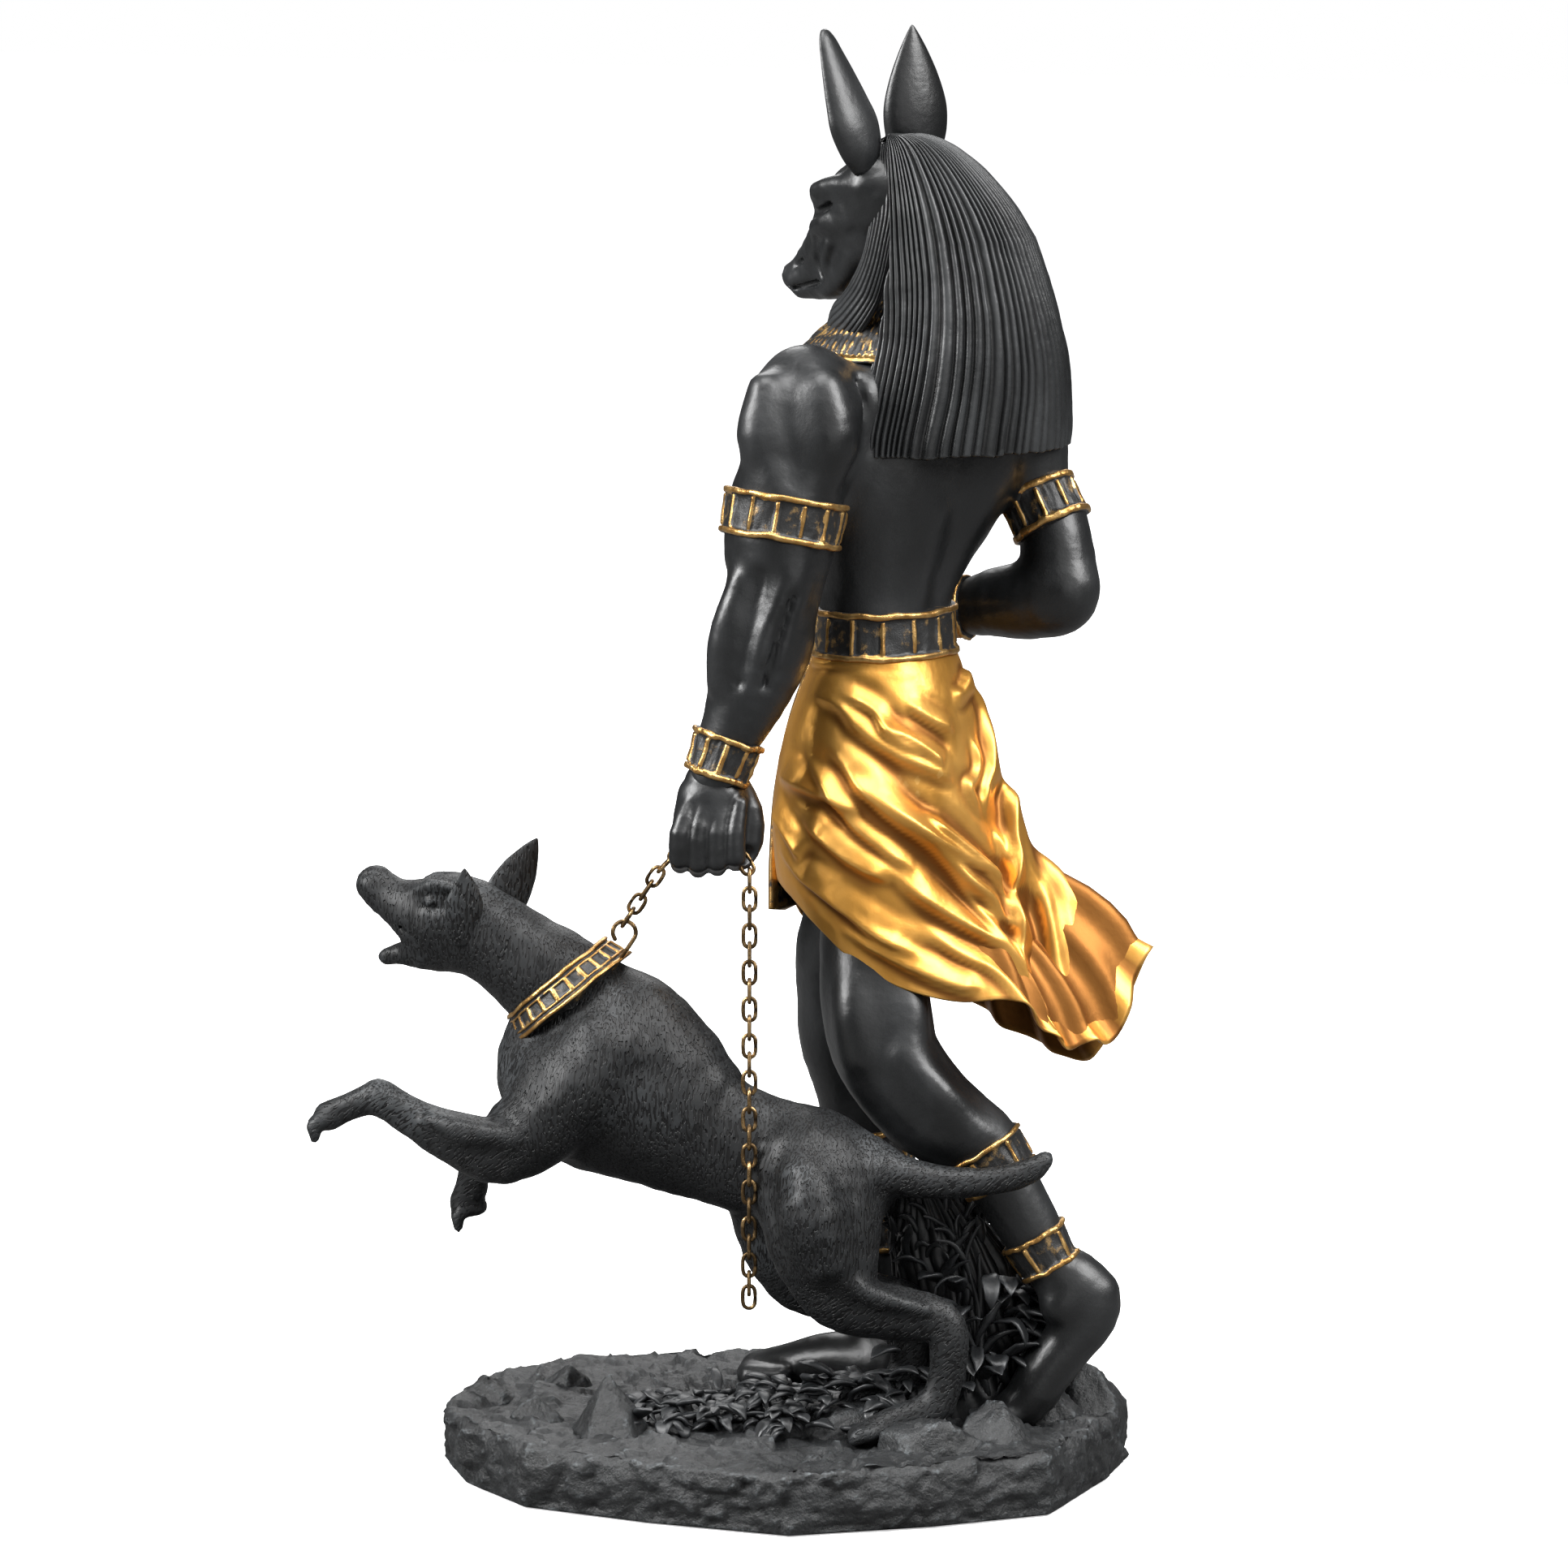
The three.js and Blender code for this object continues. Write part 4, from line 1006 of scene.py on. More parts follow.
@dataclass(frozen=True)
class Band:
    """A cast band with raised gilt rims and cross bars, round a limb or the waist.

    Attributes:
        start: Place and two half sizes at one end.
        end: The same at the other.
        across: Direction of the first half size.
        bars: How many cross bars run between the rims.
        stand: How far the rims stand out.
        lip: Width of a rim.
        first: Degrees of the first bar.
        doubled: Whether a second, finer line runs inside each rim.
    """

    start: tuple[float, ...]
    end: tuple[float, ...]
    across: tuple[float, float, float] = (0.0, 1.0, 0.0)
    bars: int = 14
    stand: float = 1.0
    lip: float = 1.15
    first: float = 0.0
    doubled: bool = False

    def shell(self, seed: int) -> Shell:
        """Skin of the band.

        Radius at an angle is the limb's half size plus a height; the height is a rim near either
        end and a narrow flat-topped bar at each bar's angle, both with eased edges.
        """
        a, b = np.array(self.start), np.array(self.end)
        length = np.linalg.norm(b[:3] - a[:3])
        near = np.array([0, 0, 0.08, 0.3, 0.75, 1.0, 1.12, 1.5])
        rise = np.array([-1.6, 0.2, 0.75, 0.98, 1.0, 0.9, 0.45, 0.3])
        if self.doubled:
            near = np.append(near, [1.75, 1.95, 2.2, 2.4])
            rise = np.append(rise, [0.35, 0.75, 0.75, 0.3])
        inset = near * self.lip
        middle = np.linspace(inset[-1] + 0.3, length - inset[-1] - 0.3, 5)
        along = np.concatenate([inset, middle, length - inset[::-1]])
        height = np.concatenate([rise, np.full(5, 0.25), rise[::-1]])
        panel = (along > inset[-2]) & (along < length - inset[-2])
        columns = 288 if self.doubled else 208
        turn = circle(columns)
        rows = a + (b - a) * (along / length)[:, None]
        run, side, third = frames(rows[:, :3], np.array(self.across))
        phase = (turn - math.radians(self.first)) * self.bars / (2 * np.pi)
        off = np.abs(phase - np.round(phase)) * 2 * np.pi * rows[:, 3:5].mean() / max(self.bars, 1)
        bar = 1 - smooth(off, 0.3, 0.6)
        relief = np.where(panel[:, None], np.maximum(height[:, None], 0.85 * bar[None, :]), height[:, None])
        ring = np.stack([np.cos(turn), np.sin(turn)], -1)
        spot = swept(rows[:, :3], 12 * ring[None, :, 0], side, 12 * ring[None, :, 1], third)
        relief = relief + np.where(height[:, None] > -1, 0.22 * fbm(spot, 2.0, 3, seed), 0)
        gilt = smooth(relief, 0.42, 0.7)
        radius = rows[:, None, 3:5] + self.stand * relief[..., None]
        points = swept(rows[:, :3], radius[..., 0] * ring[:, 0], side, radius[..., 1] * ring[:, 1], third)
        points += 0.3 * noise(spot, 3.4, seed + 9)[..., None] * run[:, None]
        return grid_shell(points, (rows[0, :3], rows[-1, :3]), {"gilt": gilt})


@dataclass(frozen=True)
class Blade:
    """A pointed ear: rounded behind, hollow in front."""

    root: tuple[float, float, float]
    tip: tuple[float, float, float]
    facing: tuple[float, float, float]
    half: float
    thick: float = 4.2
    outline: tuple[float, ...] = (0.62, 0.74, 0.86, 0.97, 1.0, 0.93, 0.74, 0.48, 0.3, 0.1)

    def shell(self) -> Shell:
        """Skin of the ear.

        The half width follows a leaf outline along the ear. Each section is a crescent: behind, a
        half ellipse; in front, the same half ellipse at 0.45 of its depth.
        """
        t = 1 - (1 - np.linspace(0, 1, 72)) ** 1.15
        stops = np.array([0, 0.12, 0.26, 0.36, 0.47, 0.57, 0.7, 0.83, 0.91, 1])
        outline = spline(np.stack([stops, np.array(self.outline)], -1), 400)
        outline = np.interp(t, outline[:, 0], outline[:, 1]) * np.sqrt(1 - np.minimum(1, t) ** 24)
        facing = unit(np.array(self.facing))
        centre = np.array(self.root) + (np.array(self.tip) - np.array(self.root)) * t[:, None]
        run = unit(np.gradient(centre, axis=0))
        across = unit(np.cross(run, facing))
        back = -np.cross(across, run)
        a = circle(56)
        depth = self.thick * outline**0.8 * (1 - 0.4 * t)
        bulge = np.where(np.sin(a) > 0, np.sin(a), 0.45 * -np.sin(a) - 0.12 * np.abs(np.sin(a)) ** 0.3)
        points = (
            centre[:, None]
            + (self.half * outline)[:, None, None] * np.cos(a)[None, :, None] * across[:, None]
            + depth[:, None, None] * bulge[None, :, None] * back[:, None]
        )
        return grid_shell(points, (centre[0] - run[0], centre[-1] + 0.4 * run[-1]))


@dataclass
class Man:
    """The man's bare forms: trunk, limbs, fists and feet, modelled in clay."""

    trunk: Rows = (
        (20.5, 2, 148, 17, 13, 66, 0), (20.4, 2, 166.4, 16.4, 13, 62, 0),
        (20.4, 2, 175.8, 15.7, 12.3, 60, 0.1), (21.5, 2.3, 181, 16.6, 12.8, 55, 0.14),
        (24, 3, 190, 20.4, 14.6, 48, 0.15), (26, 3.6, 199, 25, 16, 43, 0.15),
        (27, 4, 208, 26, 16.4, 41, 0.14), (27.4, 4, 216, 22, 14.4, 41, 0.1),
        (28.2, 4, 222.5, 14.6, 11, 41, 0), (28.4, 4.6, 229, 9, 8.6, 41, 0), (22, 5.5, 250, 8, 8, 50, 0),
    )
    trailing_leg: Rows = (
        (17, -5, 124, 9), (17.6, -8.2, 106, 10.6), (19, -12.4, 93, 11), (21.5, -14, 85.5, 10.4),
        (28, -15, 77, 9.9), (34.4, -15.5, 72, 8.9), (39.4, -15.8, 68.6, 8), (43.8, -16.2, 61.6, 7.2),
        (50, -16.8, 50.8, 6.2), (54, -17.3, 43.8, 5.4), (57, -17.4, 40.4, 5.2),
    )
    trailing_foot: Rows = (
        (59, -17, 42.6, 4.6), (62.2, -17, 38, 5.6), (60.8, -17.3, 33, 5.8), (57.2, -17.8, 28.4, 5.5),
        (52.6, -18.8, 22.6, 5.4), (49.2, -19.6, 17.2, 5), (43.6, -19.6, 14, 3.4),
    )
    leading_leg: Rows = (
        (19, 12, 124, 10), (15, 15, 105, 12.2), (13.6, 15.6, 93, 11), (13.6, 16, 85, 10.4),
        (15.4, 15.4, 74, 8.8), (16.6, 14.6, 66, 8.7), (17.4, 13.8, 58.6, 8), (18.6, 12.5, 48.6, 6.5),
        (19.4, 11.4, 41, 5.6), (20.5, 9, 25, 5.1),
    )
    leading_foot: Rows = (
        (25.5, 5.5, 17.6, 5), (20, 8.5, 18.5, 6.6), (11, 12.4, 18.4, 6.2), (2, 15.6, 16.2, 5.4),
        (-5, 18, 15, 4),
    )
    left_arm: Rows = (
        (5, -14, 222, 7), (3.6, -17.6, 211, 10.8), (2.8, -19, 205, 9.8), (0.6, -20.2, 200.4, 10.9),
        (-0.9, -21.2, 191.4, 11.1), (-1.4, -21.6, 185, 9.8), (-3, -22.2, 178, 9.6), (-4.4, -22.8, 171, 10.1),
        (-6.6, -23.4, 163, 8.4), (-9.4, -23.9, 156, 6.8), (-10.8, -24.2, 152.8, 6.2),
        (-13.7, -25, 144.6, 5.4),
    )
    right_upper_arm: Rows = (
        (44.4, 20.6, 222, 7), (46.2, 20.4, 214, 10.2), (48.2, 19.4, 206, 9.4), (50.8, 17.2, 198, 7.2),
        (54.6, 14.4, 190, 7.2), (55.6, 12.4, 181, 7.6), (55.8, 11.2, 175.6, 6.8),
    )
    right_forearm: Rows = (
        (57, 10.4, 177.6, 6.4), (51.5, 13, 175.6, 7.8), (44.2, 16.4, 174.6, 7.2), (37.6, 19.4, 173.2, 5.6),
        (31.6, 22.5, 172.6, 4.6), (25.5, 25.4, 172.4, 4.8),
    )
    muscles: tuple[tuple[Rows, float, bool], ...] = (
        (((14, -9, 214, 3), (22, -10.5, 206, 4), (27, -8, 196, 3)), 4.0, False),
        (((-4.4, -24.6, 222, 1.6), (-5.4, -26.4, 213, 3), (-3.4, -26.6, 207, 1.6)), 7.0, False),
        (((8, -24.4, 222, 1.6), (9.6, -26, 213, 3), (8, -25.6, 207, 1.6)), 7.0, False),
        (((0.6, -31.4, 217, 0.3), (1.6, -32.4, 211, 0.4), (2, -31.4, 205, 0.3)), 3.5, True),
        (((14, -17, 222, 0.3), (16.5, -19.5, 213, 0.5), (13, -22, 204, 0.3)), 3.5, True),
        (((2, -28, 189, 2.6), (1, -29.4, 182, 3.2), (-3, -29, 172, 2.4)), 3.5, False),
        (((-9, -28, 184, 2), (-12, -28.6, 174, 2.6), (-13, -27.6, 164, 1.6)), 3.5, False),
        (((-4, -31, 186, 0.4), (-6.6, -32.4, 175, 0.5), (-9, -31, 164, 0.3)), 2.5, True),
        (((1.6, -31.6, 182, 0.3), (-1, -32, 174, 0.4), (-4, -30.6, 164, 0.2)), 2.5, True),
        (((24, -22, 88, 3), (31, -22.6, 80, 3.6), (38, -21, 72, 2.4)), 3.5, False),
        (((14, -15, 106, 2), (13.6, -19.6, 97, 3), (15, -20.6, 88, 2.6)), 4.0, False),
        (((24, -15, 104, 2), (25, -19.4, 96, 3), (25, -20.4, 87, 2.4)), 4.0, False),
        (((19, 7, 223, 8), (15, 12, 215, 9), (15, 12.4, 206, 8), (18, 11, 195, 6)), 7.0, False),
        (((11, -2, 215, 5), (8, 5, 211, 6), (10, 12, 208.6, 5.4)), 4.0, False),
        (((17, 18.4, 214, 4.6), (22, 21, 211, 5.6), (28, 20.6, 211, 4.6)), 4.0, False),
    )

    def trunk_and_limbs(self) -> Shell:
        """Trunk, arms and legs pressed together in one lump, with muscles laid on."""
        clay = Clay((-36, -42, 8), (76, 44, 256), 0.95)
        clay.column(self.trunk)
        clay.mass((4, -16, 215.6), (11.6, 12, 13), heading(221), 5)
        clay.limb(((29, -1, 225, 7), (17, -9, 219.4, 7), (8, -14, 217, 7)), 5)
        clay.limb(self.left_arm, 4)
        clay.limb(self.right_upper_arm, 5)
        clay.limb(self.right_forearm, 2.5)
        clay.limb(self.leading_leg, 4)
        clay.limb(self.trailing_leg, 4)
        clay.limb(self.leading_foot, 3, 0.9, UP)
        clay.limb(self.trailing_foot, 3, 0.95)
        for spot, size in (
            ((59, -17.2, 39), 3.4), ((54.6, -20.8, 36), 2.2), ((19.6, 13.6, 23), 3.0), ((24, 5, 23), 2.6),
        ):
            clay.mass(spot, (size, size, size * 1.1), UP, 5)
        for i in range(5):
            toe = [-7.8 + 0.9 * abs(i - 1), 14.6 + 2.6 * i - 2.4, 14.8]
            clay.limb([[toe[0] + 7, toe[1] - 2.6, 15.6, 1.9], [*toe, 2.2 if i else 2.6]], 1.2)
        for i in range(4):
            clay.limb([[46, -23 + 2.6 * i, 14.6, 1.8], [39.6 + 0.6 * i, -23.6 + 2.7 * i, 13.2, 1.9]], 1.2)
        for rows, blend, carve in self.muscles:
            clay.limb(rows, blend, carve=carve)
        clay.roughen(0.16, 7, 3)
        return clay.skin(3)

    def left_fist(self) -> Shell:
        """Fist seen from its back: palm, four curled fingers, thumb, and a way through for the chain."""
        clay = Clay((-27, -36, 118), (0, -14, 152), 0.42)
        clay.limb(
            (
                (-12.6, -24.7, 149, 5.4), (-13.4, -24.9, 145.4, 5.2), (-14.4, -25.5, 140, 7),
                (-15, -26, 133.5, 7.4),
            ),
            2, 0.8,
        )
        for i, x in enumerate((-20.6, -17, -13.2, -9.6)):
            drop = (0.8, 0, 0.3, 1.2)[i]
            clay.limb(
                (
                    (x + 2 - 1.2 * i / 3, -28.8, 140, 1.6), (x, -31.2 + 0.3 * i, 134.4, 2.1),
                    (x, -30.4, 128.6 + drop, 2.0),
                ),
                0.7,
            )
            clay.limb(
                ((x, -30.2, 128.6 + drop, 2.0), (x, -26, 126.6 + drop, 1.9), (x, -22.6, 128.6 + drop, 1.9)),
                0.6,
            )
        clay.limb(
            (
                (-9.6, -22.4, 143.6, 2.4), (-6.8, -23.4, 138, 2.6), (-6.4, -24.4, 132, 2.3),
                (-8, -25.6, 128.4, 1.9),
            ),
            1.4,
        )
        clay.limb(
            ((-27, -23, 128, 1.9), (-19, -25.3, 129.6, 1.9), (-10, -27.8, 129.8, 2), (-3, -28.6, 129.6, 2.4)),
            0.6, carve=True,
        )
        clay.roughen(0.1, 5, 11)
        return clay.skin(2)

    def right_fist(self) -> Shell:
        """Fist held at the front of the waist."""
        clay = Clay((4, 18, 160), (36, 40, 184), 0.5)
        clay.limb(
            ((27.5, 24.4, 172.5, 4.9), (23, 26.6, 172.4, 5.6), (18, 28.6, 172.2, 5.8), (14, 30, 171.8, 4.8)),
            2, 0.85, UP,
        )
        for i in range(4):
            z = 176.6 - 3 * i
            clay.limb(
                ((19, 31.6, z, 2), (12.6, 32.6, z, 2.1), (9.6, 30.4, z, 1.9), (11.4, 27.4, z, 1.8)), 1.2,
            )
        clay.limb(((20, 26.6, 177.4, 2.2), (13.4, 29.2, 178.4, 2.2), (9.4, 31, 176.6, 1.8)), 1.2)
        clay.roughen(0.1, 5, 12)
        return clay.skin(2)

    def build(self, bench: Bench) -> list[bpy.types.Object]:
        """Makes the skin pieces."""
        return [
            bench.piece("trunk_and_limbs", self.trunk_and_limbs(), SKIN),
            bench.piece("left_fist", self.left_fist(), SKIN),
            bench.piece("right_fist", self.right_fist(), SKIN),
        ]


@dataclass
class JackalHead:
    """Head with its long muzzle, heavy brows and tall ears."""

    middle: tuple[float, float, float] = (22, 0.6, 0)
    skull: Rows = (
        (27, -1.6, 257.5, 8), (22, 0.6, 258, 10), (18, 2.6, 256.6, 9.6), (14, 5.6, 253, 8), (11, 9, 249, 6.3),
        (8, 12.6, 245.4, 5), (5, 15.8, 242.4, 3.7), (2.6, 17.8, 240.8, 3),
    )
    jaw: Rows = (
        (18, 3, 249.4, 8), (13, 7, 244, 5.4), (9, 11, 240, 3.4), (5.4, 14.6, 238.7, 2.3), (3.8, 16, 238.4, 2),
    )
    raised: tuple[tuple[Rows, float], ...] = (
        (((15, -6, 260.4, 1.5), (10.4, -2, 260.6, 1.7), (6.9, 1.8, 259.2, 1.8), (7.2, 6, 257.4, 1.5)), 2.4),
        (((13, -2.6, 253, 1.6), (8.6, 1.8, 252.8, 2.3), (7, 5, 251.4, 1.9)), 1.4),
        (((8.4, 0.8, 256.7, 1.1), (7.6, 3.4, 256.3, 1.5)), 0.7),
        (((9, 1.2, 248.6, 1), (8.4, 4.4, 245, 1.4), (9.6, 5.6, 241.6, 1.2)), 1.4),
        (((8.8, 8.2, 243.2, 1.2), (5, 12.4, 241.6, 1.6), (2, 15.2, 240.2, 1.6)), 1.2),
        (((14, 0, 246, 2), (12, 4, 241.6, 2), (9, 8, 238.8, 1.5)), 1.8),
    )
    carved: tuple[tuple[Rows, float], ...] = (
        (((11, -1.6, 257.2, 0.6), (7.2, 1.6, 254.9, 0.9), (5.8, 5.4, 254, 0.8)), 0.9),
        (((9.8, -1, 258.4, 0.3), (7, 3.4, 257.9, 0.4)), 0.5),
        (((6.2, 3.4, 249.4, 0.5), (6.4, 6, 246, 0.7), (8.4, 6.4, 242, 0.6)), 0.9),
        (((11.4, 3.6, 241.2, 0.5), (7.4, 8.6, 240.4, 0.6), (3, 13.6, 239, 0.6), (1, 17, 239.2, 0.5)), 0.5),
        (((5.6, 9.6, 245.6, 0.3), (2.4, 13.6, 243.2, 0.4)), 1.2),
    )
    left_ear: Blade = Blade(
        (15.9, -5, 263.2), (7.7, -4.2, 291.6), (-0.6, 0.4, 0.0), 7.2, 5.0,
        (0.46, 0.8, 0.98, 1.0, 0.9, 0.8, 0.65, 0.48, 0.39, 0.26),
    )
    right_ear: Blade = Blade((26.6, 9.4, 259), (25.6, 9, 291.8), (-0.5, 0.86, 0.0), 7.3, 4.6)

    def face(self) -> Shell:
        """Skull and jaw with brows, eyes, cheeks, lips and nose; the far side mirrors the near side."""
        clay = Clay((-4, -16, 230), (40, 34, 274), 0.45)
        clay.limb(self.skull, 2.5)
        clay.limb(self.jaw, 1.6)
        side = heading(228)
        for rows, blend, carve in [(*r, False) for r in self.raised] + [(*r, True) for r in self.carved]:
            near = np.array(rows, float)
            lean = np.interp(near[:, 0], [2.6, 8], [0.2, 1.3])
            out = (near[:, :3] - np.array(self.middle)) @ side - lean
            far = near.copy()
            far[:, :3] -= 2 * out[:, None] * side
            clay.limb(near, blend, carve=carve)
            clay.limb(far, blend, carve=carve)
        clay.mass((1.6, 18.2, 241.6), (1.5, 1.9, 1.4), heading(138), 1.0)
        clay.limb(((16, -4.6, 265.4, 2.6), (17, -4, 261, 4), (19, -2.6, 257, 5)), 2.5)
        clay.limb(((26.6, 9.3, 265, 3), (26, 8, 260, 4.4), (24, 5, 257, 5)), 2.5)
        for out in (-1.1, 1.1):
            clay.mass(np.array([0.6, 19, 241.8]) + out * side, (0.9, 0.5, 0.5), heading(138), 0.3, carve=True)
        clay.roughen(0.1, 4, 5)
        return clay.skin(2)

    def build(self, bench: Bench) -> list[bpy.types.Object]:
        """Makes the face and the ears."""
        return [
            bench.piece("face", self.face(), SKIN),
            bench.piece("left_ear", self.left_ear.shell(), SKIN),
            bench.piece("right_ear", self.right_ear.shell(), SKIN),
        ]


@dataclass
class Wig:
    """Fluted wig: a mass down the back and a lappet over either shoulder."""

    flutes: int = 54
    depth: float = 1.15
    strands: int = 22
    dip: float = 0.55
    rings: Rows = (
        (33.8, 1.7, 249.5, 15.6, 13), (35.4, 1.2, 241.6, 17.3, 13.6), (36.6, 0.7, 233, 19.8, 14.1),
        (37, 0.4, 224, 22.4, 14.4), (36.2, 0.5, 212, 24.8, 14.5), (35.8, 0.5, 207.6, 25.2, 14.4),
    )
    edges: Rows = (
        (207.6, 85, 0.045), (212, 85, 0.08), (224, 86, 0.11), (231, 89, 0.12), (241, 94, 0.2),
        (249, 100, 0.19),
    )
    crown: tuple[float, float, float] = (19.9, -3.6, 269.5)
    arch: Rows = (
        (0.02, 0.98), (0.1, 1.03), (0.23, 1.06), (0.38, 1.0), (0.53, 0.87), (0.707, 0.625), (0.879, 0.31),
        (1, 0),
    )
    left_lappet: Rows = (
        (19.6, -4, 268.8, 1.4), (20, -6.4, 262.5, 2.9), (20, -7.8, 256, 3.5), (19, -8.2, 250, 3.4),
        (17.8, -7.8, 244.6, 3.7), (16, -6.4, 239.4, 4.4), (13.6, -4, 235, 5.4), (11.2, -0.4, 231.4, 6),
        (11, 3.4, 226, 5.8), (14, 5, 220, 4.6),
    )
    right_lappet: Rows = (
        (35, 3.6, 263.6, 2.2), (33.6, 7.6, 261, 3.8), (31.4, 11.2, 256, 4.8), (28.6, 13.6, 248, 5.4),
        (26, 15.6, 240, 5.8), (24, 18, 233, 6), (22.6, 18.4, 227, 5.6), (22.6, 16, 221, 4.6),
    )

    def back(self) -> Shell:
        """Dome and skirt of rings, fluted from a crown beside the left ear down to the hem.

        A skirt ring's reach is an ellipse that swells at either front edge, falls steeply in front
        of it and dips by depth width^2.6 in each flute; flutes are narrower near the edges. Each
        dome column goes from the crown to the first skirt ring along one arch.
        """
        turns = np.linspace(0, 360, 3601)
        off = np.abs((turns - 90 + 180) % 360 - 180)
        density = 1 + 1.1 * np.exp(-(((off - 100) / 16) ** 2)) - 0.35 * (off < 70)
        density *= 1 + 0.5 * noise(np.stack([turns / 6, 0 * turns, 0 * turns], -1), 1, 23)
        total = np.concatenate([[0], np.cumsum((density[1:] + density[:-1]) / 2)])
        columns = self.flutes * 8
        u = np.arange(columns) / columns
        a = np.radians(np.interp(u, total / total[-1], turns))
        q = np.degrees(np.abs((a - np.pi / 2 + np.pi) % (2 * np.pi) - np.pi))
        dome, skirt = 54, 74
        rows = spline(self.rings, skirt)
        edges = np.array(self.edges)
        limit, swell = (np.interp(rows[:, 2], edges[:, 0], edges[:, k])[:, None] for k in (1, 2))
        proud = 1 + swell * np.exp(-(((q - limit) / 26) ** 2))
        falling = 0.65 + (0.35 + swell) * np.clip((q - limit + 9) / 9, 0, 1)
        reach = np.where(q > limit, proud, falling)
        phase = self.flutes * u
        wobble = 0.22 * noise(np.stack([np.floor(phase) * 3.1, 0 * u, 0 * u], -1), 1, 2)
        width = np.abs((phase - np.floor(phase)) * 2 - 1)
        flute = -(width ** 2.6) * (1 + wobble)
        long, deep = rows[:, 3:4] * reach + self.depth * flute, rows[:, 4:5] * reach + self.depth * flute
        along, across = heading(38), np.cross(UP, heading(38))
        z = rows[:, 2:3]
        wave = a + 0.016 * noise(np.stack([z / 11 + 0 * a, a * 3 + 0 * z, 0 * long], -1), 1, 29)
        lower = swept(rows[:, :3], long * np.cos(wave), along[None], deep * np.sin(wave), across[None])
        arch = spline(self.arch, dome + 1)[:-1]
        crown = np.array(self.crown)
        away = lower[0] - crown
        away[:, 2] = 0
        sunk = self.depth * flute[None] * (smooth(arch[:, 0], 0.0, 0.4) - 1)[:, None]
        upper = crown + away * arch[:, :1, None] - sunk[..., None] * unit(away)
        shoulder = smooth(arch[:, 1:2], 0.2, 0.9) * smooth(arch[:, :1], 0.02, 0.3)
        upper[..., 2] = lower[0, 0, 2] + (crown[2] - lower[0, 0, 2]) * arch[:, 1:2] + (
            0.5 * self.depth * flute * shoulder
        )
        points = np.concatenate([upper, lower])
        points += 0.1 * fbm(points, 4, 2, 8)[..., None] * unit(points - np.array([30, 2, 235]))
        ragged = smooth(-rows[:, 2], -216, -208)[:, None]
        points[dome:, :, 2] += 0.35 * noise(points[dome:] * [1, 1, 0], 3, 4) * ragged
        under = points[-1] + (rows[-1, :3] - points[-1]) * np.array([0.03, 0.03, 0]) + np.array([0, 0, -0.35])
        inner = rows[-1, :3] + (points[-1] - rows[-1, :3]) * np.array([0.9, 0.9, 1]) + np.array([0, 0, 0.4])
        crest = np.clip(1 + flute, 0, 1)[None] * np.ones((dome + skirt, 1))
        masks = {"crest": np.concatenate([crest, np.zeros((2, columns))])}
        points = np.concatenate([points, under[None], inner[None]])
        return grid_shell(points, (points[0].mean(axis=0) + 0.1 * UP, np.array([34, 1.5, 208.6])), masks)

    def lappet(self, rows: Rows, sign: float) -> Shell:
        """Flattened strand bundle whose radius dips in flutes; its thin way turns to the chest below.

        Args:
            rows: Places and half widths from the crown down.
            sign: 1 for the left lappet, -1 for the right one.
        """
        path = spline(rows, 76)
        turn = np.interp(path[:, 2], [206, 226, 240, 264], [138, 165, 224, 230])
        facing = np.stack([heading(138 + sign * (t - 138)) for t in turn])
        _, side, third = frames(path[:, :3], facing)
        columns = self.strands * 8
        phase = np.arange(columns) / columns * self.strands
        a = 2 * np.pi * phase / self.strands
        flute = -self.dip * np.abs((phase - np.floor(phase)) * 2 - 1) ** 4
        r = path[:, 3:4]
        wide, deep = (r + 0.8 * flute) * np.sin(a), (0.42 * r + flute) * np.cos(a)
        points = swept(path[:, :3], deep, side, wide, third)
        crest = np.clip(1 + flute / self.dip, 0, 1)[None] * np.ones((len(path), 1))
        return grid_shell(points, (path[0, :3], path[-1, :3]), {"crest": crest})

    def build(self, bench: Bench) -> list[bpy.types.Object]:
        """Makes the back mass and the lappets."""
        return [
            bench.piece("wig_back", self.back(), HAIR),
            bench.piece("wig_left_lappet", self.lappet(self.left_lappet, 1), HAIR),
            bench.piece("wig_right_lappet", self.lappet(self.right_lappet, -1), HAIR),
        ]


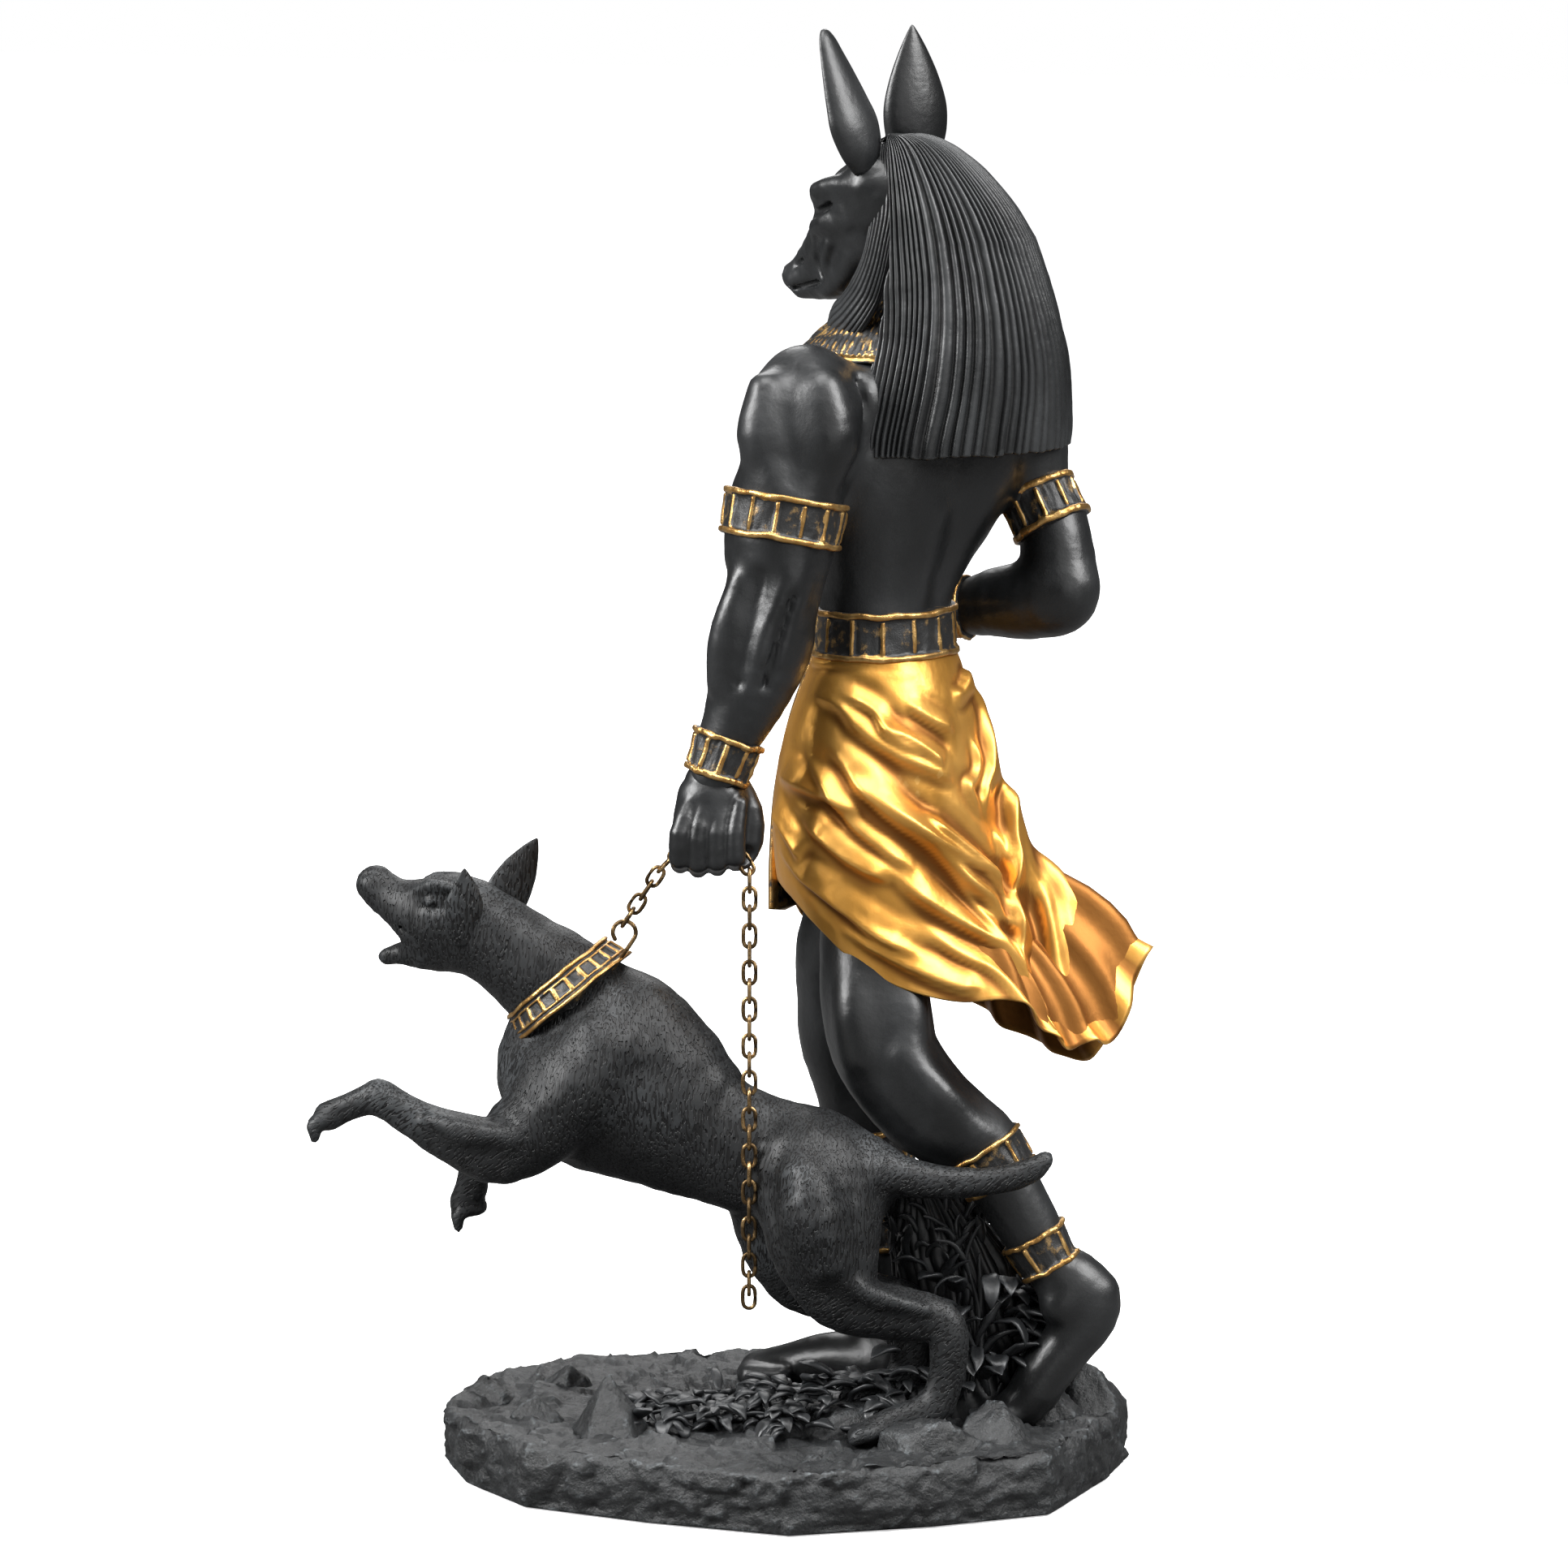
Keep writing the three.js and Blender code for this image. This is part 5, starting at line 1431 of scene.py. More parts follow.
@dataclass
class Jewellery:
    """Broad collar, armlets, bracelets, belt and leg bands."""

    neck: tuple[float, float] = (22.4, 8)
    collar_stops: Rows = (
        (7, 238, 0), (11, 235.8, 0.14), (15, 233, 0.25), (18.6, 230.6, 0.34), (21.4, 228.2, 0.4),
        (21.9, 227, 0.4), (21.6, 225.8, 0.4), (14, 227, 0.25),
    )
    bands: dict[str, Band] = field(default_factory=lambda: {
        "left_armlet": Band(
            (0.6, -20.2, 200.4, 11.6, 11.6), (-0.9, -21.2, 191.4, 11.3, 11.3), bars=14, first=8,
        ),
        "left_bracelet": Band(
            (-10.8, -24.2, 152.8, 6.5, 6.5), (-13.7, -25, 144.6, 5.7, 5.7), bars=10, lip=1.1,
        ),
        "right_armlet": Band((50.8, 17.2, 198, 7.5, 7.5), (54.6, 14.4, 190, 7.5, 7.5), bars=10, lip=1.3),
        "right_bracelet": Band(
            (37.6, 19.4, 173.2, 5.8, 5.8), (31.6, 22.5, 172.6, 4.8, 4.8), bars=10, lip=1.1,
        ),
        "belt": Band(
            (20.4, 2, 166.2, 16.7, 13.3), (20.4, 2, 175.9, 16, 12.6), tuple(heading(61)), bars=14, first=6,
        ),
        "upper_leg_band": Band(
            (39.4, -15.8, 68.6, 8.1, 8.1), (43.8, -16.2, 61.6, 7.3, 7.3), bars=6, lip=0.95, first=20,
        ),
        "lower_leg_band": Band(
            (50, -16.8, 50.8, 6.3, 6.3), (54, -17.3, 43.8, 5.5, 5.5), bars=5, lip=0.95, first=60,
        ),
        "far_upper_leg_band": Band((16.6, 14.6, 66, 8.8, 8.8), (17.4, 13.8, 58.6, 8.1, 8.1), bars=6, lip=1.2),
        "far_lower_leg_band": Band((18.6, 12.5, 48.6, 6.6, 6.6), (19.4, 11.4, 41, 5.7, 5.7), bars=5, lip=1.1),
    })

    def collar(self) -> Shell:
        """Broad collar: a disc that droops forward by the cosine squared, carved in four ribbed rows."""
        stops = spline(self.collar_stops, 56)
        a = circle(360)
        way = outwards(a)
        ahead = np.maximum(0, way @ heading(131)) ** 2
        share = np.linspace(0, 1, len(stops)) * 7
        ring = np.abs(np.sin(np.pi * share * 0.95)) ** 0.5
        ribs = 0.5 + 0.5 * np.cos(a[None] * (60 + 12 * np.floor(share))[:, None])
        relief = ring[:, None] * ribs**2 * (share < 5)[:, None]
        radius = (stops[:, 0:1] + 0.4 * relief * (share > 4)[:, None]) * (1 - 0.24 * ahead)
        height = stops[:, 1:2] - stops[:, 2:3] * stops[:, 0:1] * ahead[None] + 0.45 * relief
        points = np.stack([self.neck[0] + radius * way[:, 0], self.neck[1] + radius * way[:, 1], height], -1)
        points[..., 2] += 0.2 * fbm(points, 3, 2, 3)
        gilt = relief * smooth(noise(points, 1.1, 9), -0.5, 0.3)
        gilt[(share > 4.6) & (share < 5.4)] = 0.8
        return grid_shell(points, (np.array([*self.neck, 239]), np.array([*self.neck, 226])), {"gilt": gilt})

    def build(self, bench: Bench) -> list[bpy.types.Object]:
        """Makes each band and the collar."""
        made = [bench.piece(name, band.shell(n), TRIM) for n, (name, band) in enumerate(self.bands.items())]
        return [*made, bench.piece("broad_collar", self.collar(), TRIM)]


@dataclass
class Kilt:
    """Wind-blown kilt of pressed folds, flared behind, with a stiff tab in front."""

    middle: tuple[float, float] = (20.4, 2)
    top: float = 167
    hollow: Rows = (
        (0.995, -0.5), (0.98, -0.7), (0.955, -0.3), (0.93, 1.4), (0.9, 4), (0.84, 7), (0.76, 10), (0.66, 13),
        (0.5, 17), (0.3, 21), (0.12, 24),
    )
    hem: Rows = (
        (-180, 21.8, 120.4), (-154, 21.9, 119.6), (-132, 21.8, 115), (-111, 21.4, 108.6), (-90, 22.4, 104.2),
        (-71, 24.7, 101.8), (-52, 28.6, 99.6), (-39, 34.8, 96), (-30, 40, 90.5), (-21, 45.5, 90),
        (-13, 49.8, 97), (-3, 53.9, 106), (6, 46.9, 97), (19, 36.6, 88), (41, 28.8, 92), (74, 24.4, 97),
        (113, 23.9, 104), (145, 22.6, 114.4),
    )
    wave: Rows = (
        (-180, 21.8, 120.4), (-154, 21.9, 119), (-132, 21.8, 114.2), (-111, 21.4, 107.8), (-90, 22.4, 103.2),
        (-71, 24.7, 100.4), (-56, 27.7, 99.1), (-45, 31.3, 99.4), (-40, 33.5, 99), (-36, 35.5, 96.8),
        (-32, 37.8, 91.8), (-29.5, 39.4, 88.7), (-26, 40.9, 88.1), (-22, 43.2, 89.4), (-17, 45.6, 88.1),
        (-13.5, 48.2, 89.8), (-10, 50.4, 95.2), (-7, 50.9, 100.5), (-4.5, 52.8, 104.3), (-2, 54.2, 106),
        (1, 52.6, 102.6), (4, 48.6, 92), (6.5, 44.6, 84.4), (9, 42, 81), (12, 40, 80.8), (16, 37.4, 82.2),
        (20, 34.4, 83), (26, 31.2, 85.2), (34, 28.3, 87.7), (41, 26.4, 90), (56, 24.6, 93.5), (74, 24, 97),
        (113, 23.9, 104), (145, 22.6, 114.4),
    )
    folds: tuple[tuple[float, float, Rows], ...] = (
        (2.0, 2.6, ((-153, 0.13), (-120, 0.15), (-106, 0.21), (-87, 0.27), (-59, 0.33), (-46, 0.35))),
        (1.5, 1.8, ((-79, 0.12), (-63, 0.17), (-41, 0.21))),
        (1.5, 1.8, ((-97, 0.20), (-80, 0.22), (-65, 0.27), (-56, 0.31))),
        (
            3.6, 3.0,
            (
                (-129, 0.26), (-111, 0.35), (-99, 0.42), (-84, 0.49), (-65, 0.56), (-47, 0.64), (-27, 0.70),
                (-29, 0.78), (-29, 0.85),
            ),
        ),
        (2.2, 2.0, ((-103, 0.38), (-84, 0.46), (-62, 0.54), (-44, 0.58), (-28, 0.60), (-26, 0.68))),
        (2.0, 1.8, ((-73, 0.43), (-59, 0.50), (-39, 0.56), (-21, 0.58))),
        (3.0, 2.6, ((-2, 0.35), (-2, 0.45), (-9, 0.53), (-13, 0.58), (-22, 0.64), (-25, 0.70), (-27, 0.79))),
        (2.0, 2.6, ((-10, 0.57), (-10, 0.66), (-11, 0.74), (-15, 0.82), (-17, 0.88), (-20, 1.02))),
        (1.3, 2.6, ((-3, 0.58), (-3, 0.74), (-9, 0.85), (-10, 0.93), (-11, 1.02))),
        (2.2, 2.4, ((-25, 0.10), (0, 0.14), (-1, 0.24), (-10, 0.33), (-21, 0.35), (-24, 0.43))),
        (2.4, 2.6, ((-165, 0.52), (-132, 0.48), (-116, 0.47), (-99, 0.48))),
        (2.2, 2.2, ((-135, 0.61), (-120, 0.63), (-103, 0.66), (-85, 0.68))),
        (2.8, 2.6, ((-95, 0.61), (-76, 0.70), (-54, 0.77), (-37, 0.82), (-29, 0.86), (-31, 1.02))),
        (2.2, 2.2, ((-116, 0.91), (-96, 0.91), (-76, 0.93), (-57, 0.96), (-47, 0.97))),
        (2.5, 2.4, ((-160, 0.83), (-132, 0.83), (-110, 0.83), (-92, 0.86), (-70, 0.89))),
        (1.4, 1.6, ((7, 0.06), (-13, 0.09), (-37, 0.10))),
        (1.6, 1.8, ((-22, 0.19), (-22, 0.28), (-37, 0.35), (-25, 0.41))),
        (1.4, 1.6, ((-170, 0.04), (-137, 0.02), (-103, 0.0), (-65, 0.0))),
        (1.5, 1.6, ((-121, 0.10), (-98, 0.15), (-87, 0.23), (-66, 0.28))),
        (1.8, 2.2, ((-168, 0.65), (-146, 0.72), (-131, 0.76))),
        (1.3, 1.6, ((-60, 0.62), (-45, 0.70), (-36, 0.78), (-33, 0.88))),
        (1.6, 1.8, ((-140, 0.33), (-122, 0.42), (-108, 0.52), (-92, 0.58), (-72, 0.64))),
        (1.4, 1.8, ((-72, 0.80), (-54, 0.87), (-42, 0.92), (-36, 1.02))),
        (1.6, 2.0, ((-18, 0.45), (-17, 0.55), (-20, 0.62))),
        (0.9, 2.8, ((4, 0.45), (2, 0.6), (-2, 0.75), (-4, 0.9), (-4, 1.02))),
        (1.8, 3.0, ((12, 0.25), (16, 0.5), (12, 0.75), (9, 1.02))),
        (2.4, 3.0, ((28, 0.1), (34, 0.4), (28, 0.7), (20, 1.02))),
        (2.4, 3.0, ((56, 0.1), (60, 0.4), (50, 0.75), (38, 1.02))),
        (2.4, 3.0, ((84, 0.1), (88, 0.45), (80, 0.8), (70, 1.02))),
        (2.4, 3.0, ((112, 0.1), (116, 0.4), (108, 0.7), (98, 1.02))),
        (2.4, 3.0, ((140, 0.1), (144, 0.4), (138, 0.7), (130, 1.02))),
    )
    apron: Rows = (
        (8.4, 8.2, 168, 4.2), (3.3, 10.8, 153, 4.8), (0.5, 12.2, 138, 5.6), (0, 12, 124, 7),
        (0.2, 11.4, 113, 7.8),
    )

    def cloth(self, turn: Array, t: Array) -> Array:
        """Smooth cloth: radius is a cubic curve from belt over hip and thigh to the hem's reach.

        Args:
            turn: Degrees round the waist.
            t: Share of the way from belt to hem.
        """
        calm = periodic(np.array(self.hem, float), turn)
        wavy = periodic(np.array(self.wave, float), turn)
        edge = calm + (wavy - calm) * smooth(t, 0.62, 1.0)[..., None]
        swing = np.radians(turn + 8)
        back = np.maximum(0, np.cos(swing))
        belt = 13 + 3.6 * np.cos(np.radians(turn - 62)) ** 2
        hip = belt + 7.6 + 4 * back
        thigh = belt + 9.6 - 7 * back + 0.08 * (edge[..., 0] - belt)
        s = 1 - t
        radius = belt * s**3 + 3 * hip * t * s**2 + 3 * thigh * t**2 * s + edge[..., 0] * t**3
        z = self.top + (edge[..., 1] - self.top) * np.maximum(t, 0) ** 0.96
        a = np.radians(turn)
        return np.stack([self.middle[0] + radius * np.cos(a), self.middle[1] + radius * np.sin(a), z], -1)

    def relief(self, turn: Array, t: Array) -> Array:
        """Height of the folds above the cloth.

        Each fold is a crest line on the cloth. Its height falls off with distance d from the line as
        exp(s - sqrt((d / width)^2 + s^2)), is steeper below the line than above, and has a trough
        at its foot; it also tapers to nothing towards both ends of the line.
        """
        place = self.cloth(turn, t)
        total = np.zeros(turn.shape)
        for height, width, line in self.folds:
            knots = spline(line, 12 * len(line))
            crest = self.cloth(knots[:, 0], knots[:, 1])
            best = np.full(turn.shape, 1e6)
            share = np.zeros(turn.shape)
            side = np.zeros(turn.shape)
            run = np.gradient(crest, axis=0)
            out = outwards(np.radians(knots[:, 0]))
            below = unit(np.cross(run, out))
            for n in range(len(knots) - 1):
                step = crest[n + 1] - crest[n]
                along = np.clip(((place - crest[n]) @ step) / (step @ step), 0, 1)
                gap = place - crest[n] - along[..., None] * step
                far = np.einsum("...i,...i->...", gap, gap)
                near = far < best
                best = np.where(near, far, best)
                share = np.where(near, (n + along) / (len(knots) - 1), share)
                side = np.where(near, gap @ below[n], side)
            d = np.sqrt(best)
            lean = 0.95 - 0.4 * np.tanh(side / 1.2)
            fall = np.exp(0.18 - np.sqrt((d / (width * lean)) ** 2 + 0.0324))
            trough = 0.34 * np.exp(-(((d - 1.6 * width * lean) / (0.8 * width)) ** 2))
            taper = smooth(share, 0, 0.28) * (1 if knots[-1, 1] > 1 else smooth(1 - share, 0, 0.22))
            total = total + 0.86 * height * (fall - trough) * taper
        return total

    def skirt(self) -> Shell:
        """Outer cloth with its folds, a rolled hem and the hollow underneath, with the mask `valley` for
        painted shade in the fold valleys and over the hollow.
        """
        columns, rings = 432, 112
        turn = np.linspace(-180, 180, columns, endpoint=False)
        t = np.linspace(0, 1, rings)
        grid_turn, grid_t = np.meshgrid(turn, t)
        smooth_cloth = self.cloth(grid_turn, grid_t)
        lift = self.relief(grid_turn, grid_t) * smooth(grid_t, 0.0, 0.05)
        closed = np.concatenate([smooth_cloth[:, -1:], smooth_cloth, smooth_cloth[:, :1]], 1)
        across = np.gradient(closed, axis=1)[:, 1:-1]
        out = unit(np.cross(np.gradient(smooth_cloth, axis=0), across))
        lift = (np.roll(lift, 1, 1) + np.roll(lift, -1, 1) + 2 * lift) / 4
        outer = smooth_cloth + lift[..., None] * out
        outer += 0.12 * fbm(outer, 5, 3, 31)[..., None] * out
        # The mask `valley` is painted shade, set where the folds' relief lies below its blurred level.
        blurred = lift.copy()
        for _ in range(10):
            blurred = (blurred + np.roll(blurred, 2, 1) + np.roll(blurred, -2, 1)) / 3
            padded = np.pad(blurred, ((1, 1), (0, 0)), mode="edge")
            blurred = (padded[:-2] + padded[1:-1] + padded[2:]) / 3
        valley = smooth(blurred - lift, 0.0, 0.5)
        axis = np.array(self.middle)
        inner = []
        for share, up in self.hollow:
            ring = outer[-1].copy()
            ring[:, :2] = axis + (ring[:, :2] - axis) * share
            settle = 1 - share
            ring[:, 2] = (ring[:, 2] + up) * (1 - settle) + 126 * settle
            inner.append(ring)
        points = np.concatenate([outer, np.array(inner)])
        # The hollow underneath gets painted shade, full beyond its first rings.
        shade = np.concatenate([np.linspace(0.3, 1, 3), np.ones(len(self.hollow) - 3)])
        mask = np.concatenate([valley, shade[:, None] * np.ones((1, columns))])
        return grid_shell(points, (np.array([*axis, self.top]), np.array([*axis, 128])), {"valley": mask})

    def tab(self) -> Shell:
        """Stiff tab: a flattened tube down the front with a raised border."""
        count, sides = 60, 96
        rows = spline(self.apron, count)
        run, side, third = frames(rows[:, :3], heading(158))
        a = circle(sides)
        c, s = np.cos(a), np.sin(a)
        border = smooth(np.abs(s), 0.72, 0.82) * (1 - 0.5 * smooth(np.abs(s), 0.9, 1.0))
        ribs = 0.18 * np.cos(np.arange(count) * 1.3)[:, None]
        thick = 0.2 * rows[:, 3:4] + 0.35 * border[None] + ribs * (1 - border[None])
        points = swept(rows[:, :3], thick * c, side, rows[:, 3:4] * s, third)
        gilt = np.maximum(border[None], 0.55 * smooth(ribs, 0.1, 0.18))
        gilt = np.maximum(gilt, smooth(np.arange(count), 56, 58)[:, None])
        return grid_shell(points, (rows[0, :3] - run[0], rows[-1, :3] + run[-1]), {"gilt": gilt})

    def build(self, bench: Bench) -> list[bpy.types.Object]:
        """Makes the skirt and its tab."""
        return [bench.piece("kilt_skirt", self.skirt(), GOLD), bench.piece("kilt_tab", self.tab(), TRIM)]


@dataclass
class Hound:
    """Leaping hound with engraved fur and a broad collar."""

    trunk: Rows = (
        (-57, -8, 109.4, 8), (-51, -9.4, 104.2, 9), (-46, -10.4, 101, 10.6), (-42.4, -10.8, 96, 12),
        (-42, -11.2, 90.4, 12.8), (-40.8, -11.6, 82, 16.8), (-28.4, -14, 78.8, 18),
        (-16.6, -16.2, 71.4, 13.4), (-5, -18.4, 67, 12.4), (4.6, -20.4, 64.6, 13), (12, -22, 63, 10.4),
    )
    head: Rows = (
        (-50.5, -9.4, 104, 9.2), (-57.4, -8.6, 108.8, 8.5), (-64.4, -6.8, 113.2, 8.9),
        (-70.3, -5.6, 113.2, 8.1), (-75.2, -4.4, 114.6, 6.1), (-78.8, -3.4, 116.2, 5),
        (-82.2, -2.4, 119.4, 4),
    )
    jaw: Rows = (
        (-62, -6.6, 108.4, 6), (-70.4, -5.6, 106.9, 4.3), (-76.7, -4, 106, 2.6), (-80.3, -3, 105, 1.7),
    )
    near_fore: Rows = (
        (-45.4, -20.6, 80, 9), (-51.4, -22.6, 72.4, 8), (-57.4, -23.8, 69.4, 7), (-65, -24, 71.4, 5.6),
        (-73.6, -23.2, 75.4, 3.9), (-80, -22.6, 79.4, 3.6), (-82.6, -22.4, 79.4, 3.1),
        (-87.2, -22, 77.6, 2.8), (-91, -21.6, 75.8, 3),
    )
    far_fore: Rows = (
        (-41, -4, 79, 9), (-50, -2.4, 73, 7.4), (-58, -1.6, 67.4, 4.8), (-62.6, -1, 61.4, 3.3),
        (-63.4, -0.6, 57, 3.3), (-65, -0.2, 53.8, 3),
    )
    hind: Rows = (
        (6.4, -26.4, 64, 11.5), (7.6, -28.4, 54.5, 11.8), (9.4, -29.6, 46, 9.6), (12.6, -30.4, 39.8, 6.6),
        (21.8, -31, 37.6, 5.6), (30.6, -31.4, 36, 4.6), (33, -31.8, 31.6, 4), (31.8, -32, 23, 3.6),
        (29.4, -32.4, 18.2, 4), (22.6, -33.2, 15.6, 3.6), (17.6, -34, 14, 2.8),
    )
    tail: Rows = (
        (12, -22.4, 65.6, 7), (18, -24, 65.4, 5.4), (25, -25.6, 64, 3.9), (34.6, -27.4, 63.2, 3.1),
        (44.3, -28.4, 64.4, 2.8), (49.4, -28.4, 66.2, 2.4), (52, -28, 68.2, 1.7),
    )
    near_ear: Blade = Blade(
        (-64.1, -13.4, 109.6), (-63.9, -15.4, 125), (-0.3, 0.95, 0.0), 4.0, 2.2,
        (0.75, 0.88, 0.97, 1.0, 0.98, 0.92, 0.74, 0.48, 0.3, 0.1),
    )
    far_ear: Blade = Blade(
        (-57.6, -3, 114.6), (-49.8, 0.6, 128.6), (-0.4, 0.9, 0.2), 5.2, 2.2,
        (1.0, 1.0, 0.98, 0.94, 0.86, 0.78, 0.6, 0.4, 0.26, 0.1),
    )
    grooves: tuple[tuple[Rows, float, bool], ...] = (
        (((-33, -29, 96, 0.3), (-31, -31.8, 86, 0.8), (-33, -31.4, 76, 0.6), (-38, -28, 68, 0.4)), 4.0, True),
        (((-14, -30, 80, 0.6), (-13, -31, 72, 1.2), (-10, -30, 64, 0.8)), 4.0, True),
        (((-1, -34, 72, 0.8), (-2.6, -34, 62, 1.2), (0, -36, 52, 0.8)), 4.0, True),
        (((-37, -24, 90, 5), (-42, -26, 82, 6), (-47, -25, 75, 5)), 8.0, False),
        (((4, -35, 66, 4), (6, -37, 58, 6), (8, -37, 50, 4)), 5.0, False),
        (((12, -36, 45, 1.4), (19, -35.6, 41.6, 1.8), (28, -35, 39, 1.2)), 2.4, False),
        (((-55, -29.6, 73, 2), (-63, -29.4, 74, 2.6), (-70, -27.6, 76, 1.6)), 2.6, False),
    )

    def body(self) -> Shell:
        """Whole body pressed together in clay; the painted value `along` is 0 where the fur stands."""
        clay = Clay((-100, -50, 7), (58, 12, 132), 0.79)
        clay.limb(self.trunk, 5, 0.78)
        clay.limb(((-38, -12.4, 92, 11.6), (-32, -13, 90.4, 13.6), (-24, -14, 84, 11.2)), 3, 0.9)
        for spot in ((-40, -19.5, 82), (-38, -4.5, 82)):
            clay.mass(spot, (6, 13, 9.5), heading(-101), 5)
        clay.limb(self.head, 3, 0.86)
        clay.limb(self.jaw, 2, 1.1)
        clay.limb(self.near_fore, 3, 0.86)
        clay.limb(self.far_fore, 3)
        clay.limb(self.hind, 4, 0.8)
        clay.limb([(x - 7, y + 17, z, r) for x, y, z, r in self.hind], 4, 0.8)
        clay.limb(self.tail, 3)
        for rows, blend, carve in self.grooves:
            clay.limb(rows, blend, carve=carve)
        clay.mass((-80.8, -22.6, 79.8), (3.4, 3.2, 3.4), REARWARD, 1.5)
        for x, y, z in ((-91.6, -21.4, 75.2), (-64, -0.2, 52.4), (17.6, -34, 14), (10.6, -17, 14)):
            for k in (-1.5, -0.5, 0.5, 1.5):
                ends = ((-2, -0.4), (-2.2, -3.4)) if z > 40 else ((-2.2, 0), (-3.8, -1.2))
                toe = [(x + dx, y + 1.7 * k, z + dz, r) for (dx, dz), r in zip(ends, (1.5, 1.0))]
                clay.limb([(x + 2, y + 0.8 * k, z + 0.4, 1.4), *toe], 0.7)
        for side in (-1, 1):
            clay.mass((-70.4, -5.4 + 6.4 * side, 117.2), (2, 1.2, 1.2), heading(200), 0.9)
            clay.limb(
                (
                    (-66, -6 + 6.4 * side, 120.4, 1.2), (-71, -5.2 + 5.6 * side, 120.6, 1.3),
                    (-74.6, -4.4 + 4 * side, 118.6, 0.8),
                ),
                1.4,
            )
            clay.limb(
                ((-68, -5.6 + 7.4 * side, 116.4, 0.3), (-73, -5 + 6.4 * side, 116.6, 0.5)), 0.8, carve=True,
            )
            clay.mass((-83.6, -2.2 + 1.9 * side, 121.6), (1.0, 0.7, 0.7), REARWARD, 0.4, carve=True)
            clay.limb(((-72, -5 + 6 * side, 110.4, 0.4), (-77, -4 + 4.6 * side, 112, 0.8)), 1.0, carve=True)
        clay.limb(
            ((-76.6, -4, 108.8, 0.5), (-80.2, -3.4, 110, 2.3), (-84, -2.6, 110.5, 4), (-90, -2, 111.4, 5.6)),
            0.8, flat=2.6, carve=True,
        )
        clay.roughen(0.3, 6, 17)
        shell = clay.skin(3)
        shell.masks["along"] = self.lie(shell.points)
        return shell

    def lie(self, points: Array) -> Array:
        """Share of slanting fur: 1 on limbs and tail, 0 on head, neck, trunk and thighs."""
        x, z = points[:, 0], points[:, 2]
        fore = smooth(-x, 50, 58) * smooth(-z, -86, -78)
        shank = smooth(-z, -46, -38)
        tail = smooth(x, 17, 22)
        return np.maximum.reduce([fore, shank, tail])

    def build(self, bench: Bench) -> list[bpy.types.Object]:
        """Makes the body, the ears and the collar."""
        collar = Band(
            (-45.9, -10.4, 102.2, 10.4, 12), (-42.2, -11.2, 97.7, 12.6, 14.4),
            bars=24, stand=0.8, lip=0.75, first=4, doubled=True,
        )
        ears = [ear.shell() for ear in (self.near_ear, self.far_ear)]
        for ear in ears:
            ear.masks["along"] = np.zeros(len(ear.points))
        return [
            bench.piece("hound_body", self.body(), FUR),
            bench.piece("hound_near_ear", ears[0], FUR),
            bench.piece("hound_far_ear", ears[1], FUR),
            bench.piece("hound_collar", collar.shell(40), TRIM),
        ]


